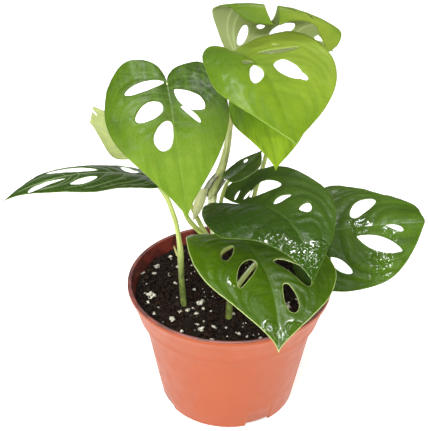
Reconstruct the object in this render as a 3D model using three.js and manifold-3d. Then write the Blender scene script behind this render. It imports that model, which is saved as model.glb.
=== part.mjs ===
// Young monstera adansonii in its round plastic nursery pot.
// Units are millimetres, +Z is up and z = 0 is the table under the pot.
// The origin is the centre of the pot's base; the front of the plant looks towards -Y.
import * as THREE from 'three';
import Module from 'manifold-3d';

const wasm = await Module();
wasm.setup();

const degrees = Math.PI / 180;
const clamp = (value, low, high) => Math.min(high, Math.max(low, value));
const mix = (a, b, t) => a + (b - a) * t;

// ---- driving dimensions -------------------------------------------------

const GAP = 0.3;              // clearance kept between pieces that touch

const POT_HEIGHT = 80;
const RIM_RADIUS = 60;        // outside of the rim: a 12 cm nursery pot
const BASE_RADIUS = 40.5;
const COLLAR_HEIGHT = 19;     // the flared collar below the rim
const COLLAR_FOOT_RADIUS = 54;
const COLLAR_STEP = 3;        // the collar's foot stands this much proud of the body
const STEP_HEIGHT = 2.4;      // height of the slope from the body out to the collar's foot
const POT_WALL = 1.3;
const LIP_WIDTH = 1.1;        // the lip round the rim stands this much proud of the collar
const LIP_HEIGHT = 2.6;
const EDGE_BEVEL = 0.5;
const FOOT_BEVEL = 0.8;
const POT_SIDES = 40;
const DRAIN_COUNT = 4;
const DRAIN_WIDTH = 15.5;
const DRAIN_HEIGHT = 3;
const DRAIN_REACH = 9;        // how far a drain slot runs in under the floor
const DRAIN_TURN = 26;        // degrees from the X axis to the first slot

const SOIL_LEVEL = 72;
const SOIL_LUMPS = 0.65;      // height of the lumps in the soil's surface
const SOIL_SIDES = 32;
const SOIL_RINGS = 6;
const SOCKET_DEPTH = 9;       // how deep the stems are planted

const BLADE_THICKNESS = 0.8;
const HOLE_CUT = 1.3;         // how far a hole's cutter stands out of the blade on each side
const STALK_SIDES = 8;

// ---- solids ---------------------------------------------------------------

// Triangles that share points exactly, as one closed mesh.
class Solid {
  constructor() {
    this.points = [];
    this.faces = [];
    this.index = new Map();
  }

  add(point) {
    const key = [point.x, point.y, point.z].map((v) => v.toFixed(4)).join();
    if (!this.index.has(key)) {
      this.index.set(key, this.points.length);
      this.points.push(point);
    }
    return this.index.get(key);
  }

  face(a, b, c) {
    const [i, j, k] = [this.add(a), this.add(b), this.add(c)];
    if (i !== j && j !== k && k !== i) this.faces.push([i, j, k]);
  }

  quad(a, b, c, d) {
    this.face(a, b, c);
    this.face(a, c, d);
  }

  manifold() {
    return new wasm.Manifold(new wasm.Mesh({
      numProp: 3,
      vertProperties: Float32Array.from(this.points.flatMap((p) => [p.x, p.y, p.z])),
      triVerts: Uint32Array.from(this.faces.flat()),
    }));
  }
}

function geometryOf(manifold) {
  const mesh = manifold.getMesh();
  const geometry = new THREE.BufferGeometry();
  geometry.setAttribute('position', new THREE.BufferAttribute(Float32Array.from(mesh.vertProperties), 3));
  geometry.setIndex(new THREE.BufferAttribute(Uint32Array.from(mesh.triVerts), 1));
  geometry.computeVertexNormals();
  return geometry;
}

const plant = new THREE.Group();
plant.name = 'monstera_adansonii_potted';

function place(name, manifold, colour, roughness) {
  const material = new THREE.MeshStandardMaterial({ color: colour, roughness, metalness: 0 });
  material.name = `${name}_material`;
  const mesh = new THREE.Mesh(geometryOf(manifold), material);
  mesh.name = name;
  plant.add(mesh);
}

// A closed profile of [radius, height] points, turned about the Z axis; shape may then move each point.
function turned(profile, sides, shape = (point) => point) {
  const solid = new Solid();
  const at = ([radius, height], side) => {
    const angle = (side % sides) / sides * 2 * Math.PI;
    return shape(new THREE.Vector3(radius * Math.cos(angle), radius * Math.sin(angle), height));
  };
  profile.forEach((from, i) => {
    const to = profile[(i + 1) % profile.length];
    for (let side = 0; side < sides; side += 1) {
      solid.quad(at(from, side), at(from, side + 1), at(to, side + 1), at(to, side));
    }
  });
  return solid.manifold();
}

// A round stalk along a smooth curve through the given points, with rounded ends.
// Each stop is { at: [x, y, z], radius }.
function stalk(stops, { extra = 0, spacing = 9 } = {}) {
  const points = stops.map((stop) => new THREE.Vector3(...stop.at));
  const curve = new THREE.CatmullRomCurve3(points, false, 'centripetal');
  const steps = Math.max(3, Math.round(curve.getLength() / spacing));
  const radiusAt = (t) => {
    const along = t * (stops.length - 1);
    const i = Math.min(stops.length - 2, Math.floor(along));
    return mix(stops[i].radius, stops[i + 1].radius, along - i) + extra;
  };
  const rings = [];
  for (let i = 0; i <= steps; i += 1) {
    const t = i / steps;
    rings.push({ centre: curve.getPoint(t), tangent: curve.getTangent(t), radius: radiusAt(t) });
  }
  const cap = (ring, sign) => [0.7].map((out) => ({
    centre: ring.centre.clone().addScaledVector(ring.tangent, sign * out * ring.radius),
    tangent: ring.tangent,
    radius: ring.radius * Math.sqrt(1 - out * out),
  }));
  const all = [...cap(rings[0], -1).reverse(), ...rings, ...cap(rings[steps], 1)];
  const tips = [
    rings[0].centre.clone().addScaledVector(rings[0].tangent, -rings[0].radius),
    rings[steps].centre.clone().addScaledVector(rings[steps].tangent, rings[steps].radius),
  ];
  let across = new THREE.Vector3(1, 0, 0);
  if (Math.abs(all[0].tangent.x) > 0.8) across = new THREE.Vector3(0, 1, 0);
  const loops = all.map((ring) => {
    across = across.clone().addScaledVector(ring.tangent, -across.dot(ring.tangent)).normalize();
    const up = new THREE.Vector3().crossVectors(ring.tangent, across);
    return Array.from({ length: STALK_SIDES }, (_, side) => {
      const angle = side / STALK_SIDES * 2 * Math.PI;
      return ring.centre.clone()
        .addScaledVector(across, ring.radius * Math.cos(angle))
        .addScaledVector(up, ring.radius * Math.sin(angle));
    });
  });
  const solid = new Solid();
  const last = loops.length - 1;
  for (let side = 0; side < STALK_SIDES; side += 1) {
    const next = (side + 1) % STALK_SIDES;
    solid.face(tips[0], loops[0][next], loops[0][side]);
    solid.face(tips[1], loops[last][side], loops[last][next]);
    for (let i = 0; i < last; i += 1) {
      solid.quad(loops[i][side], loops[i][next], loops[i + 1][next], loops[i + 1][side]);
    }
  }
  return solid.manifold();
}

// ---- the blade of a leaf --------------------------------------------------

// Where a point of the flat blade lies once the leaf is bent and posed.
// across: + to the right of the midrib, - to the left; along: from the stalk to the tip.
// A blade folds and curls about its midrib, the midrib bends, and the back lobes may droop.
function onBlade(leaf, across, along) {
  const half = across < 0 ? leaf.left : leaf.right;
  const side = across < 0 ? -1 : 1;
  const s = clamp(along / leaf.length, 0, 1);
  const fold = mix(...half.fold, s) * degrees;
  const curl = mix(...half.curl, s) * degrees;
  const flap = half.flap ? mix(...half.flap.turn, s) * degrees : 0;
  const steps = 12;
  const reach = Math.abs(across) / steps;
  let out = 0;
  let lift = 0;
  for (let i = 0; i < steps; i += 1) {
    const u = Math.abs(across) / half.width * (i + 0.5) / steps;
    let tilt = fold + curl * u;
    if (half.flap) {
      const q = clamp((u - half.flap.from) / half.flap.over, 0, 1);
      tilt += flap * q * q * (3 - 2 * q);
    }
    out += Math.cos(tilt) * reach * side;
    lift += Math.sin(tilt) * reach;
  }
  const twist = leaf.twist * s * degrees;
  const outward = out * Math.cos(twist) + lift * Math.sin(twist);
  const upward = lift * Math.cos(twist) - out * Math.sin(twist);

  const midrib = new THREE.Vector3();
  const bendAt = (t) => (leaf.bend[0] * t + leaf.bend[1] * t * t) * degrees;
  const pieces = 16;
  for (let i = 0; i < pieces; i += 1) {
    const t = s * (i + 0.5) / pieces;
    const step = s * leaf.length / pieces;
    const sweep = leaf.sweep * t * degrees;
    midrib.x += Math.cos(bendAt(t)) * Math.sin(sweep) * step;
    midrib.y += Math.cos(bendAt(t)) * Math.cos(sweep) * step;
    midrib.z += Math.sin(bendAt(t)) * step;
  }
  const back = Math.max(0, -along);
  const droop = half.droop * degrees * back / 24;
  midrib.y -= back * Math.cos(droop);
  midrib.z -= back * Math.sin(droop);

  const sweep = leaf.sweep * s * degrees;
  const tangent = new THREE.Vector3(
    Math.cos(bendAt(s)) * Math.sin(sweep),
    Math.cos(bendAt(s)) * Math.cos(sweep),
    Math.sin(bendAt(s)),
  );
  const sideways = new THREE.Vector3(Math.cos(sweep), -Math.sin(sweep), 0);
  const normal = new THREE.Vector3().crossVectors(sideways, tangent);
  const local = midrib.addScaledVector(sideways, outward).addScaledVector(normal, upward);

  const [heading, pitch, roll] = [leaf.heading, leaf.pitch, leaf.roll].map((angle) => angle * degrees);
  const forward = new THREE.Vector3(
    Math.cos(pitch) * Math.cos(heading),
    Math.cos(pitch) * Math.sin(heading),
    Math.sin(pitch),
  );
  const level = new THREE.Vector3(Math.sin(heading), -Math.cos(heading), 0);
  const above = new THREE.Vector3().crossVectors(level, forward);
  const right = level.clone().multiplyScalar(Math.cos(roll)).addScaledVector(above, -Math.sin(roll));
  const up = level.clone().multiplyScalar(Math.sin(roll)).addScaledVector(above, Math.cos(roll));
  return new THREE.Vector3(...leaf.base)
    .addScaledVector(right, local.x)
    .addScaledVector(forward, local.y)
    .addScaledVector(up, local.z);
}

function bladeNormal(leaf, across, along) {
  const d = 0.4;
  const from = onBlade(leaf, across, along);
  const sideways = onBlade(leaf, across + d, along).sub(from);
  const onward = onBlade(leaf, across, along + d).sub(from);
  return sideways.cross(onward).normalize();
}

// The edge of one half of the flat blade, from the notch at the stalk round the back lobe to the tip.
function halfEdge(leaf, half, rows) {
  const widest = (leaf.widest + (half.widestShift ?? 0)) * leaf.length;
  const { width, lobe } = half;
  const rest = leaf.length - widest;
  const arc = (...points) => new THREE.CubicBezierCurve(...points.map(([x, y]) => new THREE.Vector2(x, y)));
  const notch = arc([0, 0], [0.03 * width, -0.75 * lobe], [0.22 * width, -lobe], [0.5 * width, -lobe]);
  const shoulder = arc([0.5 * width, -lobe], [0.8 * width, -lobe],
    [width, (widest - lobe) / 2], [width, widest]);
  const { fullness, taper, shoulderBack } = { shoulderBack: 0.22, ...leaf, ...half };
  const flank = arc([width, widest], [width, widest + fullness * rest],
    [taper * width, leaf.length - shoulderBack * rest], [0, leaf.length]);
  return Array.from({ length: rows + 1 }, (_, i) => {
    const t = i / rows;
    if (t < 0.25) return notch.getPoint(t * 4);
    if (t < 0.5) return shoulder.getPoint((t - 0.25) * 4);
    return flank.getPoint((t - 0.5) * 2);
  });
}

// Where on the midrib the side vein towards row t starts: at the stalk for the back lobe, then onwards.
function veinStart(leaf, t) {
  const shoulderEnd = 0.12 * leaf.length;
  if (t < 0.25) return 0;
  if (t < 0.5) return mix(0, shoulderEnd, (t - 0.25) * 4);
  return mix(shoulderEnd, leaf.length, (t - 0.5) * 2);
}

// A sheet of flat triangles thickened and posed as a blade.
function thickSheet(leaf, triangles, below, above) {
  const lifted = (point, height) => onBlade(leaf, point.x, point.y)
    .addScaledVector(bladeNormal(leaf, point.x, point.y), height);
  const solid = new Solid();
  const name = (point) => `${point.x.toFixed(4)},${point.y.toFixed(4)}`;
  const cache = new Map();
  const levels = (point) => {
    if (!cache.has(name(point))) cache.set(name(point), [lifted(point, below), lifted(point, above)]);
    return cache.get(name(point));
  };
  const edges = new Map();
  triangles.forEach(([a, b, c]) => {
    solid.face(levels(a)[1], levels(b)[1], levels(c)[1]);
    solid.face(levels(c)[0], levels(b)[0], levels(a)[0]);
    [[a, b], [b, c], [c, a]].forEach(([from, to]) => edges.set(`${name(from)}|${name(to)}`, [from, to]));
  });
  edges.forEach(([from, to]) => {
    if (!edges.has(`${name(to)}|${name(from)}`)) {
      solid.quad(levels(from)[0], levels(to)[0], levels(to)[1], levels(from)[1]);
    }
  });
  return solid.manifold();
}

function bladeTriangles(leaf) {
  const rows = leaf.rows ?? 14;
  const triangles = [];
  [[leaf.left, -1], [leaf.right, 1]].forEach(([half, side]) => {
    const edge = halfEdge(leaf, half, rows);
    const columns = half.columns ?? leaf.columns ?? 4;
    const point = (row, column) => {
      const start = veinStart(leaf, row / rows);
      const u = column / columns;
      return new THREE.Vector2(side * edge[row].x * u, mix(start, edge[row].y, u));
    };
    const keep = (a, b, c) => {
      const area = (b.x - a.x) * (c.y - a.y) - (c.x - a.x) * (b.y - a.y);
      if (area > 1e-3) triangles.push([a, b, c]);
      if (area < -1e-3) triangles.push([a, c, b]);
    };
    for (let row = 1; row < rows; row += 1) {
      for (let column = 0; column < columns; column += 1) {
        const [a, b] = [point(row, column), point(row, column + 1)];
        const [c, d] = [point(row + 1, column + 1), point(row + 1, column)];
        keep(a, b, c);
        keep(a, c, d);
      }
    }
  });
  return triangles;
}

// An oval hole in the blade; turn is measured from across (to the right) towards the tip.
const hole = (across, along, length, width, turn) => ({ across, along, length, width, turn });

function holeTriangles(shape) {
  const sides = 10;
  const rings = 4;
  const angle = shape.turn * degrees;
  const centre = new THREE.Vector2(shape.across, shape.along);
  const at = (ring, side) => {
    const round = side % sides / sides * 2 * Math.PI;
    const long = shape.length / 2 * Math.cos(round) * ring / rings;
    const short = shape.width / 2 * Math.sin(round) * ring / rings;
    return new THREE.Vector2(long, short).rotateAround(new THREE.Vector2(), angle).add(centre);
  };
  const triangles = [];
  for (let side = 0; side < sides; side += 1) {
    triangles.push([centre, at(1, side), at(1, side + 1)]);
    for (let ring = 1; ring < rings; ring += 1) {
      triangles.push([at(ring, side), at(ring + 1, side), at(ring + 1, side + 1)]);
      triangles.push([at(ring, side), at(ring + 1, side + 1), at(ring, side + 1)]);
    }
  }
  return triangles;
}

function blade(leaf) {
  let solid = thickSheet(leaf, bladeTriangles(leaf), -BLADE_THICKNESS / 2, BLADE_THICKNESS / 2);
  leaf.holes.forEach((shape) => {
    solid = solid.subtract(thickSheet(leaf, holeTriangles(shape), -HOLE_CUT, HOLE_CUT));
  });
  return solid;
}

// The last stop of a leaf stalk: its rounded end just clears the underside of the blade.
function underBlade(leaf, radius, across = 0, along = 2.5) {
  const point = onBlade(leaf, across, along);
  const depth = BLADE_THICKNESS / 2 + GAP + radius;
  return { at: point.addScaledVector(bladeNormal(leaf, across, along), -depth).toArray(), radius };
}

// ---- the leaves -------------------------------------------------------------
// width, lobe: half width and back lobe; fold, curl: angles at the stalk and at the tip.

const leaves = {
  front_left: {
    colour: 0x6f9f2c, base: [-35, 0.5, 206], heading: -81, pitch: -18, roll: 0,
    length: 81.5, widest: 0.28, fullness: 0.43, taper: 0.13, bend: [-24, -9], sweep: -3, twist: -5,
    left: { width: 29.5, lobe: 11, droop: 4, widestShift: -0.02, fold: [14, 5], curl: [-8, -20] },
    right: { width: 34.5, lobe: 16, droop: -8, fold: [8, 9], curl: [-28, -17] },
    holes: [
      hole(11.5, 4, 23, 7, 25), hole(11.5, 23, 16.5, 10.5, 34), hole(5.5, 36.5, 20, 9.5, 73),
      hole(-10, 15.5, 21, 9.5, 130), hole(-9.5, 25, 14, 2, 126),
    ],
  },
  top_front: {
    colour: 0x7aa531, base: [2, 1, 221], heading: -54, pitch: 16, roll: -29,
    length: 84.5, widest: 0.4, fullness: 0.38, taper: 0.19, bend: [-102, 67], sweep: 11, twist: 4,
    left: { width: 38.5, lobe: 12.5, droop: -2, widestShift: -0.13, fold: [34, 5], curl: [10, -8] },
    right: { width: 30.5, lobe: 1, droop: 88, fold: [10, -13], curl: [-49, -25] },
    holes: [
      hole(6, 32.5, 23, 7, 63), hole(-12, 28, 17.5, 13, 109), hole(-17.5, 12, 21, 5.5, 162),
      hole(-19.5, 5.5, 5, 2, 163), hole(7, 20, 15, 3.5, 44),
    ],
  },
  top_arched: {
    colour: 0x86a04a, base: [2.4, 28, 209.8], heading: 4, pitch: 20, roll: -40,
    length: 54, widest: 0.32, fullness: 0.45, taper: 0.12, bend: [-11, -30], sweep: -19, twist: 16,
    rows: 24,
    left: { width: 24.5, lobe: 8, droop: 0, fold: [15, 5], curl: [-10, -10] },
    right: {
      width: 44.5, lobe: 5.5, droop: 1, columns: 8, fold: [45, 20], curl: [-4, -29],
      fullness: 0.6, taper: 1, shoulderBack: 0.05,
      flap: { from: 0.62, over: 0.26, turn: [-122, -95] },
    },
    holes: [
      hole(11.5, 6, 13, 5, 25), hole(14, 14.5, 4, 2.5, 77), hole(12.5, 24.5, 15, 8, 56),
      hole(7.5, 42, 7.5, 4, -27), hole(34, 20.5, 30, 6, 5),
    ],
  },
  hanging_back: {
    colour: 0x67952c, base: [16, 17.5, 187.5], heading: -70, pitch: -37, roll: -4,
    length: 41.5, widest: 0.27, fullness: 0.38, taper: 0.1, bend: [-4, -5], sweep: 9, twist: -3,
    columns: 3,
    left: { width: 24, lobe: 9, droop: 0, fold: [10, 5], curl: [-20, -20] },
    right: { width: 22, lobe: 9, droop: 0, fold: [12, 21], curl: [-21, -8] },
    holes: [],
  },
  far_left: {
    colour: 0x4b6b33, base: [-43, 6.5, 144], heading: 187, pitch: 17, roll: 17,
    length: 86.5, widest: 0.32, fullness: 0.46, taper: 0.13, bend: [-31, -15], sweep: -4, twist: -8,
    left: { width: 25, lobe: 6, droop: 0, fold: [3, -4], curl: [-11, -18] },
    right: { width: 26.5, lobe: 6, droop: 0, fold: [2, 2], curl: [-12, -22] },
    holes: [
      hole(-6, 61, 21, 6.5, 93), hole(-11, 40, 17, 7, 107), hole(9, 46, 27, 8, 78),
      hole(10.5, 15, 18, 9, 19),
    ],
  },
  centre_right: {
    colour: 0x42702a, base: [7.5, 0, 131.5], heading: -46, pitch: 24, roll: -24,
    length: 87.5, widest: 0.28, fullness: 0.44, taper: 0.12, bend: [-43, -25], sweep: 24, twist: 2,
    left: { width: 33, lobe: 19.5, droop: -11, widestShift: -0.04, fold: [48, 1], curl: [1, -26] },
    right: { width: 37, lobe: 11.5, droop: -11, fold: [-5, -15], curl: [-30, -27] },
    holes: [
      hole(-14.5, 6, 16, 12, -20), hole(-12.5, 30, 22.5, 13, 114), hole(-9, -11, 8, 3, 179),
      hole(-8, -3.5, 7, 3, 170),
    ],
  },
  over_rim: {
    colour: 0x55872a, base: [5.5, -5.5, 111.5], heading: -60, pitch: 7, roll: -8,
    length: 90, widest: 0.31, fullness: 0.47, taper: 0.08, bend: [-43, 13], sweep: 33, twist: 0,
    left: { width: 41, lobe: 12, droop: 0, fold: [10, 10], curl: [-21, -18] },
    right: { width: 40, lobe: 14.5, droop: 16, fold: [7, 9], curl: [-3, -13] },
    holes: [
      hole(17, 18, 19, 6.5, 54), hole(11, 35, 28, 7, 64), hole(-8.5, 56.5, 20, 7.5, 96),
      hole(-15.5, 38, 25.5, 9.5, 123),
    ],
  },
  right: {
    colour: 0x476f2f, base: [47.5, 14.5, 103.5], heading: -15, pitch: 20, roll: 24,
    length: 67, widest: 0.31, fullness: 0.52, taper: 0.81, bend: [-13, 3], sweep: 0, twist: -2,
    left: { width: 38, lobe: 12.5, droop: 0, widestShift: -0.02, fold: [-3, -14], curl: [-6, -31] },
    right: { width: 37, lobe: 12, droop: 0, fold: [-15, -16], curl: [-19, -20] },
    holes: [
      hole(-16, 30, 22.5, 11.5, 150), hole(2.6, 50, 12, 2.5, 65), hole(12, 37, 27, 8, 69),
      hole(22.5, 18, 16.5, 6.5, 51),
    ],
  },
  small_at_node: {
    colour: 0x3f6330, base: [-1.5, 3, 145.7], heading: 42, pitch: 12, roll: -1,
    length: 30, widest: 0.42, fullness: 0.45, taper: 0.12, bend: [-1, 8], sweep: -13, twist: -6,
    rows: 14, columns: 3,
    left: { width: 7.5, lobe: 1.5, droop: 0, fold: [14, 12], curl: [-22, -25] },
    right: { width: 9.5, lobe: 1.5, droop: 0, fold: [18, 16], curl: [-14, -17] },
    holes: [hole(-3.2, 18, 4, 2, 100)],
  },
  behind_left: {
    colour: 0x6f8f46, base: [-54, 11, 164.5], heading: 161, pitch: 17, roll: 65,
    length: 32.5, widest: 0.35, fullness: 0.5, taper: 0.13, bend: [7, 13], sweep: 30, twist: 13,
    left: { width: 24.5, lobe: 4, droop: 0, widestShift: 0.02, fold: [10, 9], curl: [-48, -51] },
    right: { width: 18, lobe: 4, droop: 0, fold: [3, 1], curl: [-23, -26] },
    holes: [hole(-14, 28, 15, 4.5, 140)],
  },
};

Object.entries(leaves).forEach(([name, leaf]) => place(`leaf_${name}`, blade(leaf), leaf.colour, 0.45));

// ---- stems and leaf stalks ------------------------------------------------------

const planted = SOIL_LEVEL - SOCKET_DEPTH;
const stop = (x, y, z, radius) => ({ at: [x, y, z], radius });

const stems = {
  left: [
    stop(-26.2, -16, planted, 2), stop(-26.7, -13.9, 73, 1.9), stop(-28, -9.9, 88.8, 1.8),
    stop(-28.5, -6.2, 103.6, 1.9), stop(-28.9, -5.4, 107, 1.6),
  ],
  middle: [
    stop(-3.6, 7, planted, 2.6), stop(-4.6, 7, 76, 2.5), stop(-8, 8, 98, 2.4), stop(-9.8, 9, 114, 2.5),
    stop(-10.6, 9.8, 127, 2.5), stop(-9.6, 11.4, 136.5, 3), stop(-6.6, 13.5, 143, 2.7),
    stop(-3, 15, 157, 2.1), stop(-1, 17.5, 174, 1.7), stop(0, 20.5, 186, 1.7), stop(0.9, 22.6, 195, 1.9),
  ],
  back: [stop(10, 29, planted, 2), stop(10, 29.5, 82, 1.9), stop(10.6, 30.5, 96, 2.1)],
  front: [stop(-0.6, -28.6, planted, 1.9), stop(-0.3, -27.2, 72, 1.9), stop(-0.2, -26, 80, 1.9),
    stop(1.6, -23.5, 86, 1.8)],
};

const stalks = {
  far_left: [stop(-29.3, -4.6, 110.3, 1.4), stop(-31.4, -1.6, 121.6, 1.4), stop(-33, -0.4, 126.2, 1.4),
    stop(-35.5, 1.4, 133, 1.4), stop(-39.2, 3.2, 139, 1.4), underBlade(leaves.far_left, 1.4, 0, 4)],
  front_left: [stop(-10.2, 4.4, 103, 1.5), stop(-15.5, 1.5, 110, 1.4), stop(-24.8, 1, 122, 1.4),
    stop(-29.5, 4, 142, 1.4), stop(-32.4, 6.5, 168, 1.4), stop(-35, 6, 190, 1.4),
    underBlade(leaves.front_left, 1.3)],
  behind_left: [stop(-12.9, 8.6, 104, 1.4), stop(-19, 10.5, 115, 1.3), stop(-26.5, 12.5, 131, 1.3),
    stop(-37, 11.5, 149, 1.2), stop(-47.5, 7.5, 158, 1.2), underBlade(leaves.behind_left, 1.1, 0, 2)],
  top_front: [stop(1.4, 20.4, 199, 1.5), stop(2.4, 13, 208, 1.5), underBlade(leaves.top_front, 1.4)],
  top_arched: [stop(2.6, 23.6, 199, 1.3), stop(3.6, 24.6, 204, 1.2), underBlade(leaves.top_arched, 1.1)],
  hanging_back: [stop(11.1, 31.2, 99.8, 1.5), stop(15, 32, 122, 1.4), stop(20.5, 31, 147, 1.3),
    stop(21.5, 28, 168, 1.3), underBlade(leaves.hanging_back, 1.2)],
  centre_right: [stop(-5.5, 7.8, 112.5, 1.5), stop(0, 4.4, 124.5, 1.4), underBlade(leaves.centre_right, 1.3)],
  over_rim: [stop(-4.3, 5.3, 95.5, 1.5), stop(0.5, 0.5, 103, 1.4), underBlade(leaves.over_rim, 1.3)],
  right: [stop(3.2, -21.3, 88.2, 1.6), stop(12.6, -9.5, 95, 1.5), stop(24, 5, 97, 1.4),
    stop(34, 14.5, 95, 1.4), stop(42, 15.5, 97.6, 1.4), underBlade(leaves.right, 1.3)],
  small_at_node: [stop(-7.2, 6.8, 118, 1.1), stop(-5.4, 6, 131, 1.1), stop(-3, 4.6, 141, 1),
    underBlade(leaves.small_at_node, 0.9, 0, 2)],
};

// Papery sheaths wrap the joints between stems and leaf stalks; the left stem's is only a small spur.
const sheaths = {
  left: {
    round: [stop(-30.2, -6.8, 101.4, 0.9), stop(-31.2, -6.4, 104, 0.8), stop(-32.2, -5.8, 106.6, 0.4)],
    stem: stems.left, carries: [stalks.far_left],
  },
  middle: {
    round: [stop(-10.7, 10, 129.5, 3.4), stop(-9.8, 11.2, 135.5, 4), stop(-7, 13.2, 142, 3.4)],
    stem: stems.middle, carries: [],
  },
  top: {
    round: [stop(0.5, 22, 191.5, 2.5), stop(1.2, 22.6, 195.5, 3.4), stop(1.9, 22.2, 199.4, 3.6)],
    stem: stems.middle, carries: [stalks.top_front, stalks.top_arched],
  },
  back: {
    round: [stop(10.4, 30.1, 89, 2.6), stop(10.6, 30.5, 95, 3), stop(11.1, 31.2, 100.5, 2.4)],
    stem: stems.back, carries: [stalks.hanging_back],
  },
  front: {
    round: [stop(0.3, -25.4, 82, 2.4), stop(1.6, -23.5, 86, 2.7), stop(3.6, -20.8, 88.6, 2.3)],
    stem: stems.front, carries: [stalks.right],
  },
};

Object.entries(stems).forEach(([name, stops]) => place(`stem_${name}`, stalk(stops), 0x9aa860, 0.6));
Object.entries(stalks).forEach(([name, stops]) => place(`petiole_${name}`, stalk(stops), 0xa5b765, 0.55));
Object.entries(sheaths).forEach(([name, sheath]) => {
  let sleeve = stalk(sheath.round);
  [sheath.stem, ...sheath.carries].forEach((inner) => {
    sleeve = sleeve.subtract(stalk(inner, { extra: GAP }));
  });
  place(`sheath_${name}`, sleeve, 0x9c8f62, 0.8);
});

// A dry leaf sheath that has come away from the middle stem and hangs beside it.
const dryTongue = {
  base: [-14.9, 6, 136.5], heading: 189, pitch: -70, roll: -90,
  length: 20, widest: 0.3, fullness: 0.5, taper: 0.3, bend: [6, 0], sweep: 0, twist: 12,
  rows: 10, columns: 3,
  left: { width: 3.4, lobe: 1, droop: 0, fold: [-10, 0], curl: [-60, -30] },
  right: { width: 3.4, lobe: 1, droop: 0, fold: [-10, 0], curl: [-60, -30] },
  holes: [],
};
place('sheath_hanging', blade(dryTongue), 0xd8d9a0, 0.8);

// ---- pot and soil ---------------------------------------------------------------

const collarFoot = POT_HEIGHT - COLLAR_HEIGHT;
const bodyTopRadius = COLLAR_FOOT_RADIUS - COLLAR_STEP;
const collarTopRadius = RIM_RADIUS - LIP_WIDTH;

// Inside radius of the pot at a height: the collar's cone above its foot, the body's cone below.
function insideRadiusAt(height) {
  if (height > collarFoot) {
    return mix(COLLAR_FOOT_RADIUS, collarTopRadius, (height - collarFoot) / COLLAR_HEIGHT) - POT_WALL;
  }
  return mix(BASE_RADIUS, bodyTopRadius, height / (collarFoot - STEP_HEIGHT)) - POT_WALL;
}

const inside = (height) => [insideRadiusAt(height), height];
const potProfile = [
  [0, 0],
  [BASE_RADIUS - FOOT_BEVEL, 0],
  [BASE_RADIUS, FOOT_BEVEL],
  [bodyTopRadius, collarFoot - STEP_HEIGHT],
  [COLLAR_FOOT_RADIUS, collarFoot],
  [collarTopRadius, POT_HEIGHT - LIP_HEIGHT - EDGE_BEVEL],
  [RIM_RADIUS, POT_HEIGHT - LIP_HEIGHT],
  [RIM_RADIUS, POT_HEIGHT - EDGE_BEVEL],
  [RIM_RADIUS - EDGE_BEVEL, POT_HEIGHT],
  inside(POT_HEIGHT),
  inside(collarFoot + EDGE_BEVEL),
  inside(collarFoot - STEP_HEIGHT),
  inside(POT_WALL + FOOT_BEVEL),
  [BASE_RADIUS - POT_WALL - FOOT_BEVEL, POT_WALL],
  [0, POT_WALL],
];

// Drain slots cut the corner between the wall and the floor.
function drainSlot(number) {
  const outwards = BASE_RADIUS + 4;
  const slot = new THREE.BoxGeometry(outwards - BASE_RADIUS + DRAIN_REACH, DRAIN_WIDTH, 2 * DRAIN_HEIGHT);
  slot.translate((outwards + BASE_RADIUS - DRAIN_REACH) / 2, 0, 0);
  slot.rotateZ(number / DRAIN_COUNT * 2 * Math.PI + DRAIN_TURN * degrees);
  const positions = slot.getAttribute('position');
  const corner = (n) => new THREE.Vector3().fromBufferAttribute(positions, slot.index.getX(n));
  const box = new Solid();
  for (let n = 0; n < slot.index.count; n += 3) box.face(corner(n), corner(n + 1), corner(n + 2));
  return box.manifold();
}

let pot = turned(potProfile, POT_SIDES);
for (let number = 0; number < DRAIN_COUNT; number += 1) pot = pot.subtract(drainSlot(number));
place('pot', pot, 0xe07c50, 0.5);

// The soil fills the pot up to its lumpy surface and keeps clear of the wall.
const soilFoot = POT_WALL + GAP;
const soilSection = [
  [insideRadiusAt(SOIL_LEVEL - 2 * SOIL_LUMPS) - 2 * GAP, SOIL_LEVEL],
  [insideRadiusAt(collarFoot + EDGE_BEVEL) - 2 * GAP, collarFoot + EDGE_BEVEL],
  [insideRadiusAt(collarFoot - STEP_HEIGHT) - 2 * GAP, collarFoot - STEP_HEIGHT],
  [insideRadiusAt(soilFoot + FOOT_BEVEL) - 2 * GAP, soilFoot + FOOT_BEVEL],
  [BASE_RADIUS - POT_WALL - FOOT_BEVEL - 2 * GAP, soilFoot],
  [0, soilFoot],
];
const soilRadius = soilSection[0][0];
const soilTop = Array.from({ length: SOIL_RINGS }, (_, ring) => [soilRadius * ring / SOIL_RINGS, SOIL_LEVEL]);
const soil = turned([...soilTop, ...soilSection].reverse(), SOIL_SIDES, (point) => {
  if (point.z < SOIL_LEVEL) return point;
  const lumps = Math.sin(0.31 * point.x + 1) * Math.cos(0.27 * point.y)
    + 0.6 * Math.sin(0.17 * point.x - 0.4 * point.y + 2);
  return point.setZ(SOIL_LEVEL + SOIL_LUMPS * lumps);
});
const sockets = Object.values(stems).map((stops) => stalk(stops, { extra: GAP }));
place('soil', sockets.reduce((bed, socket) => bed.subtract(socket), soil), 0x2b2320, 0.95);

export default plant;
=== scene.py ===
"""The looks of a young monstera adansonii in its nursery pot.

The CAD frame is in metres; the plant's own sizes below are in millimetres, in the same frame,
and become metres where a mesh is made. +Z is up and the front of the plant looks towards -Y.
"""
import math
import random

import bpy
import numpy as np
from mathutils import Matrix, Vector, noise
from mathutils.geometry import delaunay_2d_cdt


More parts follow.
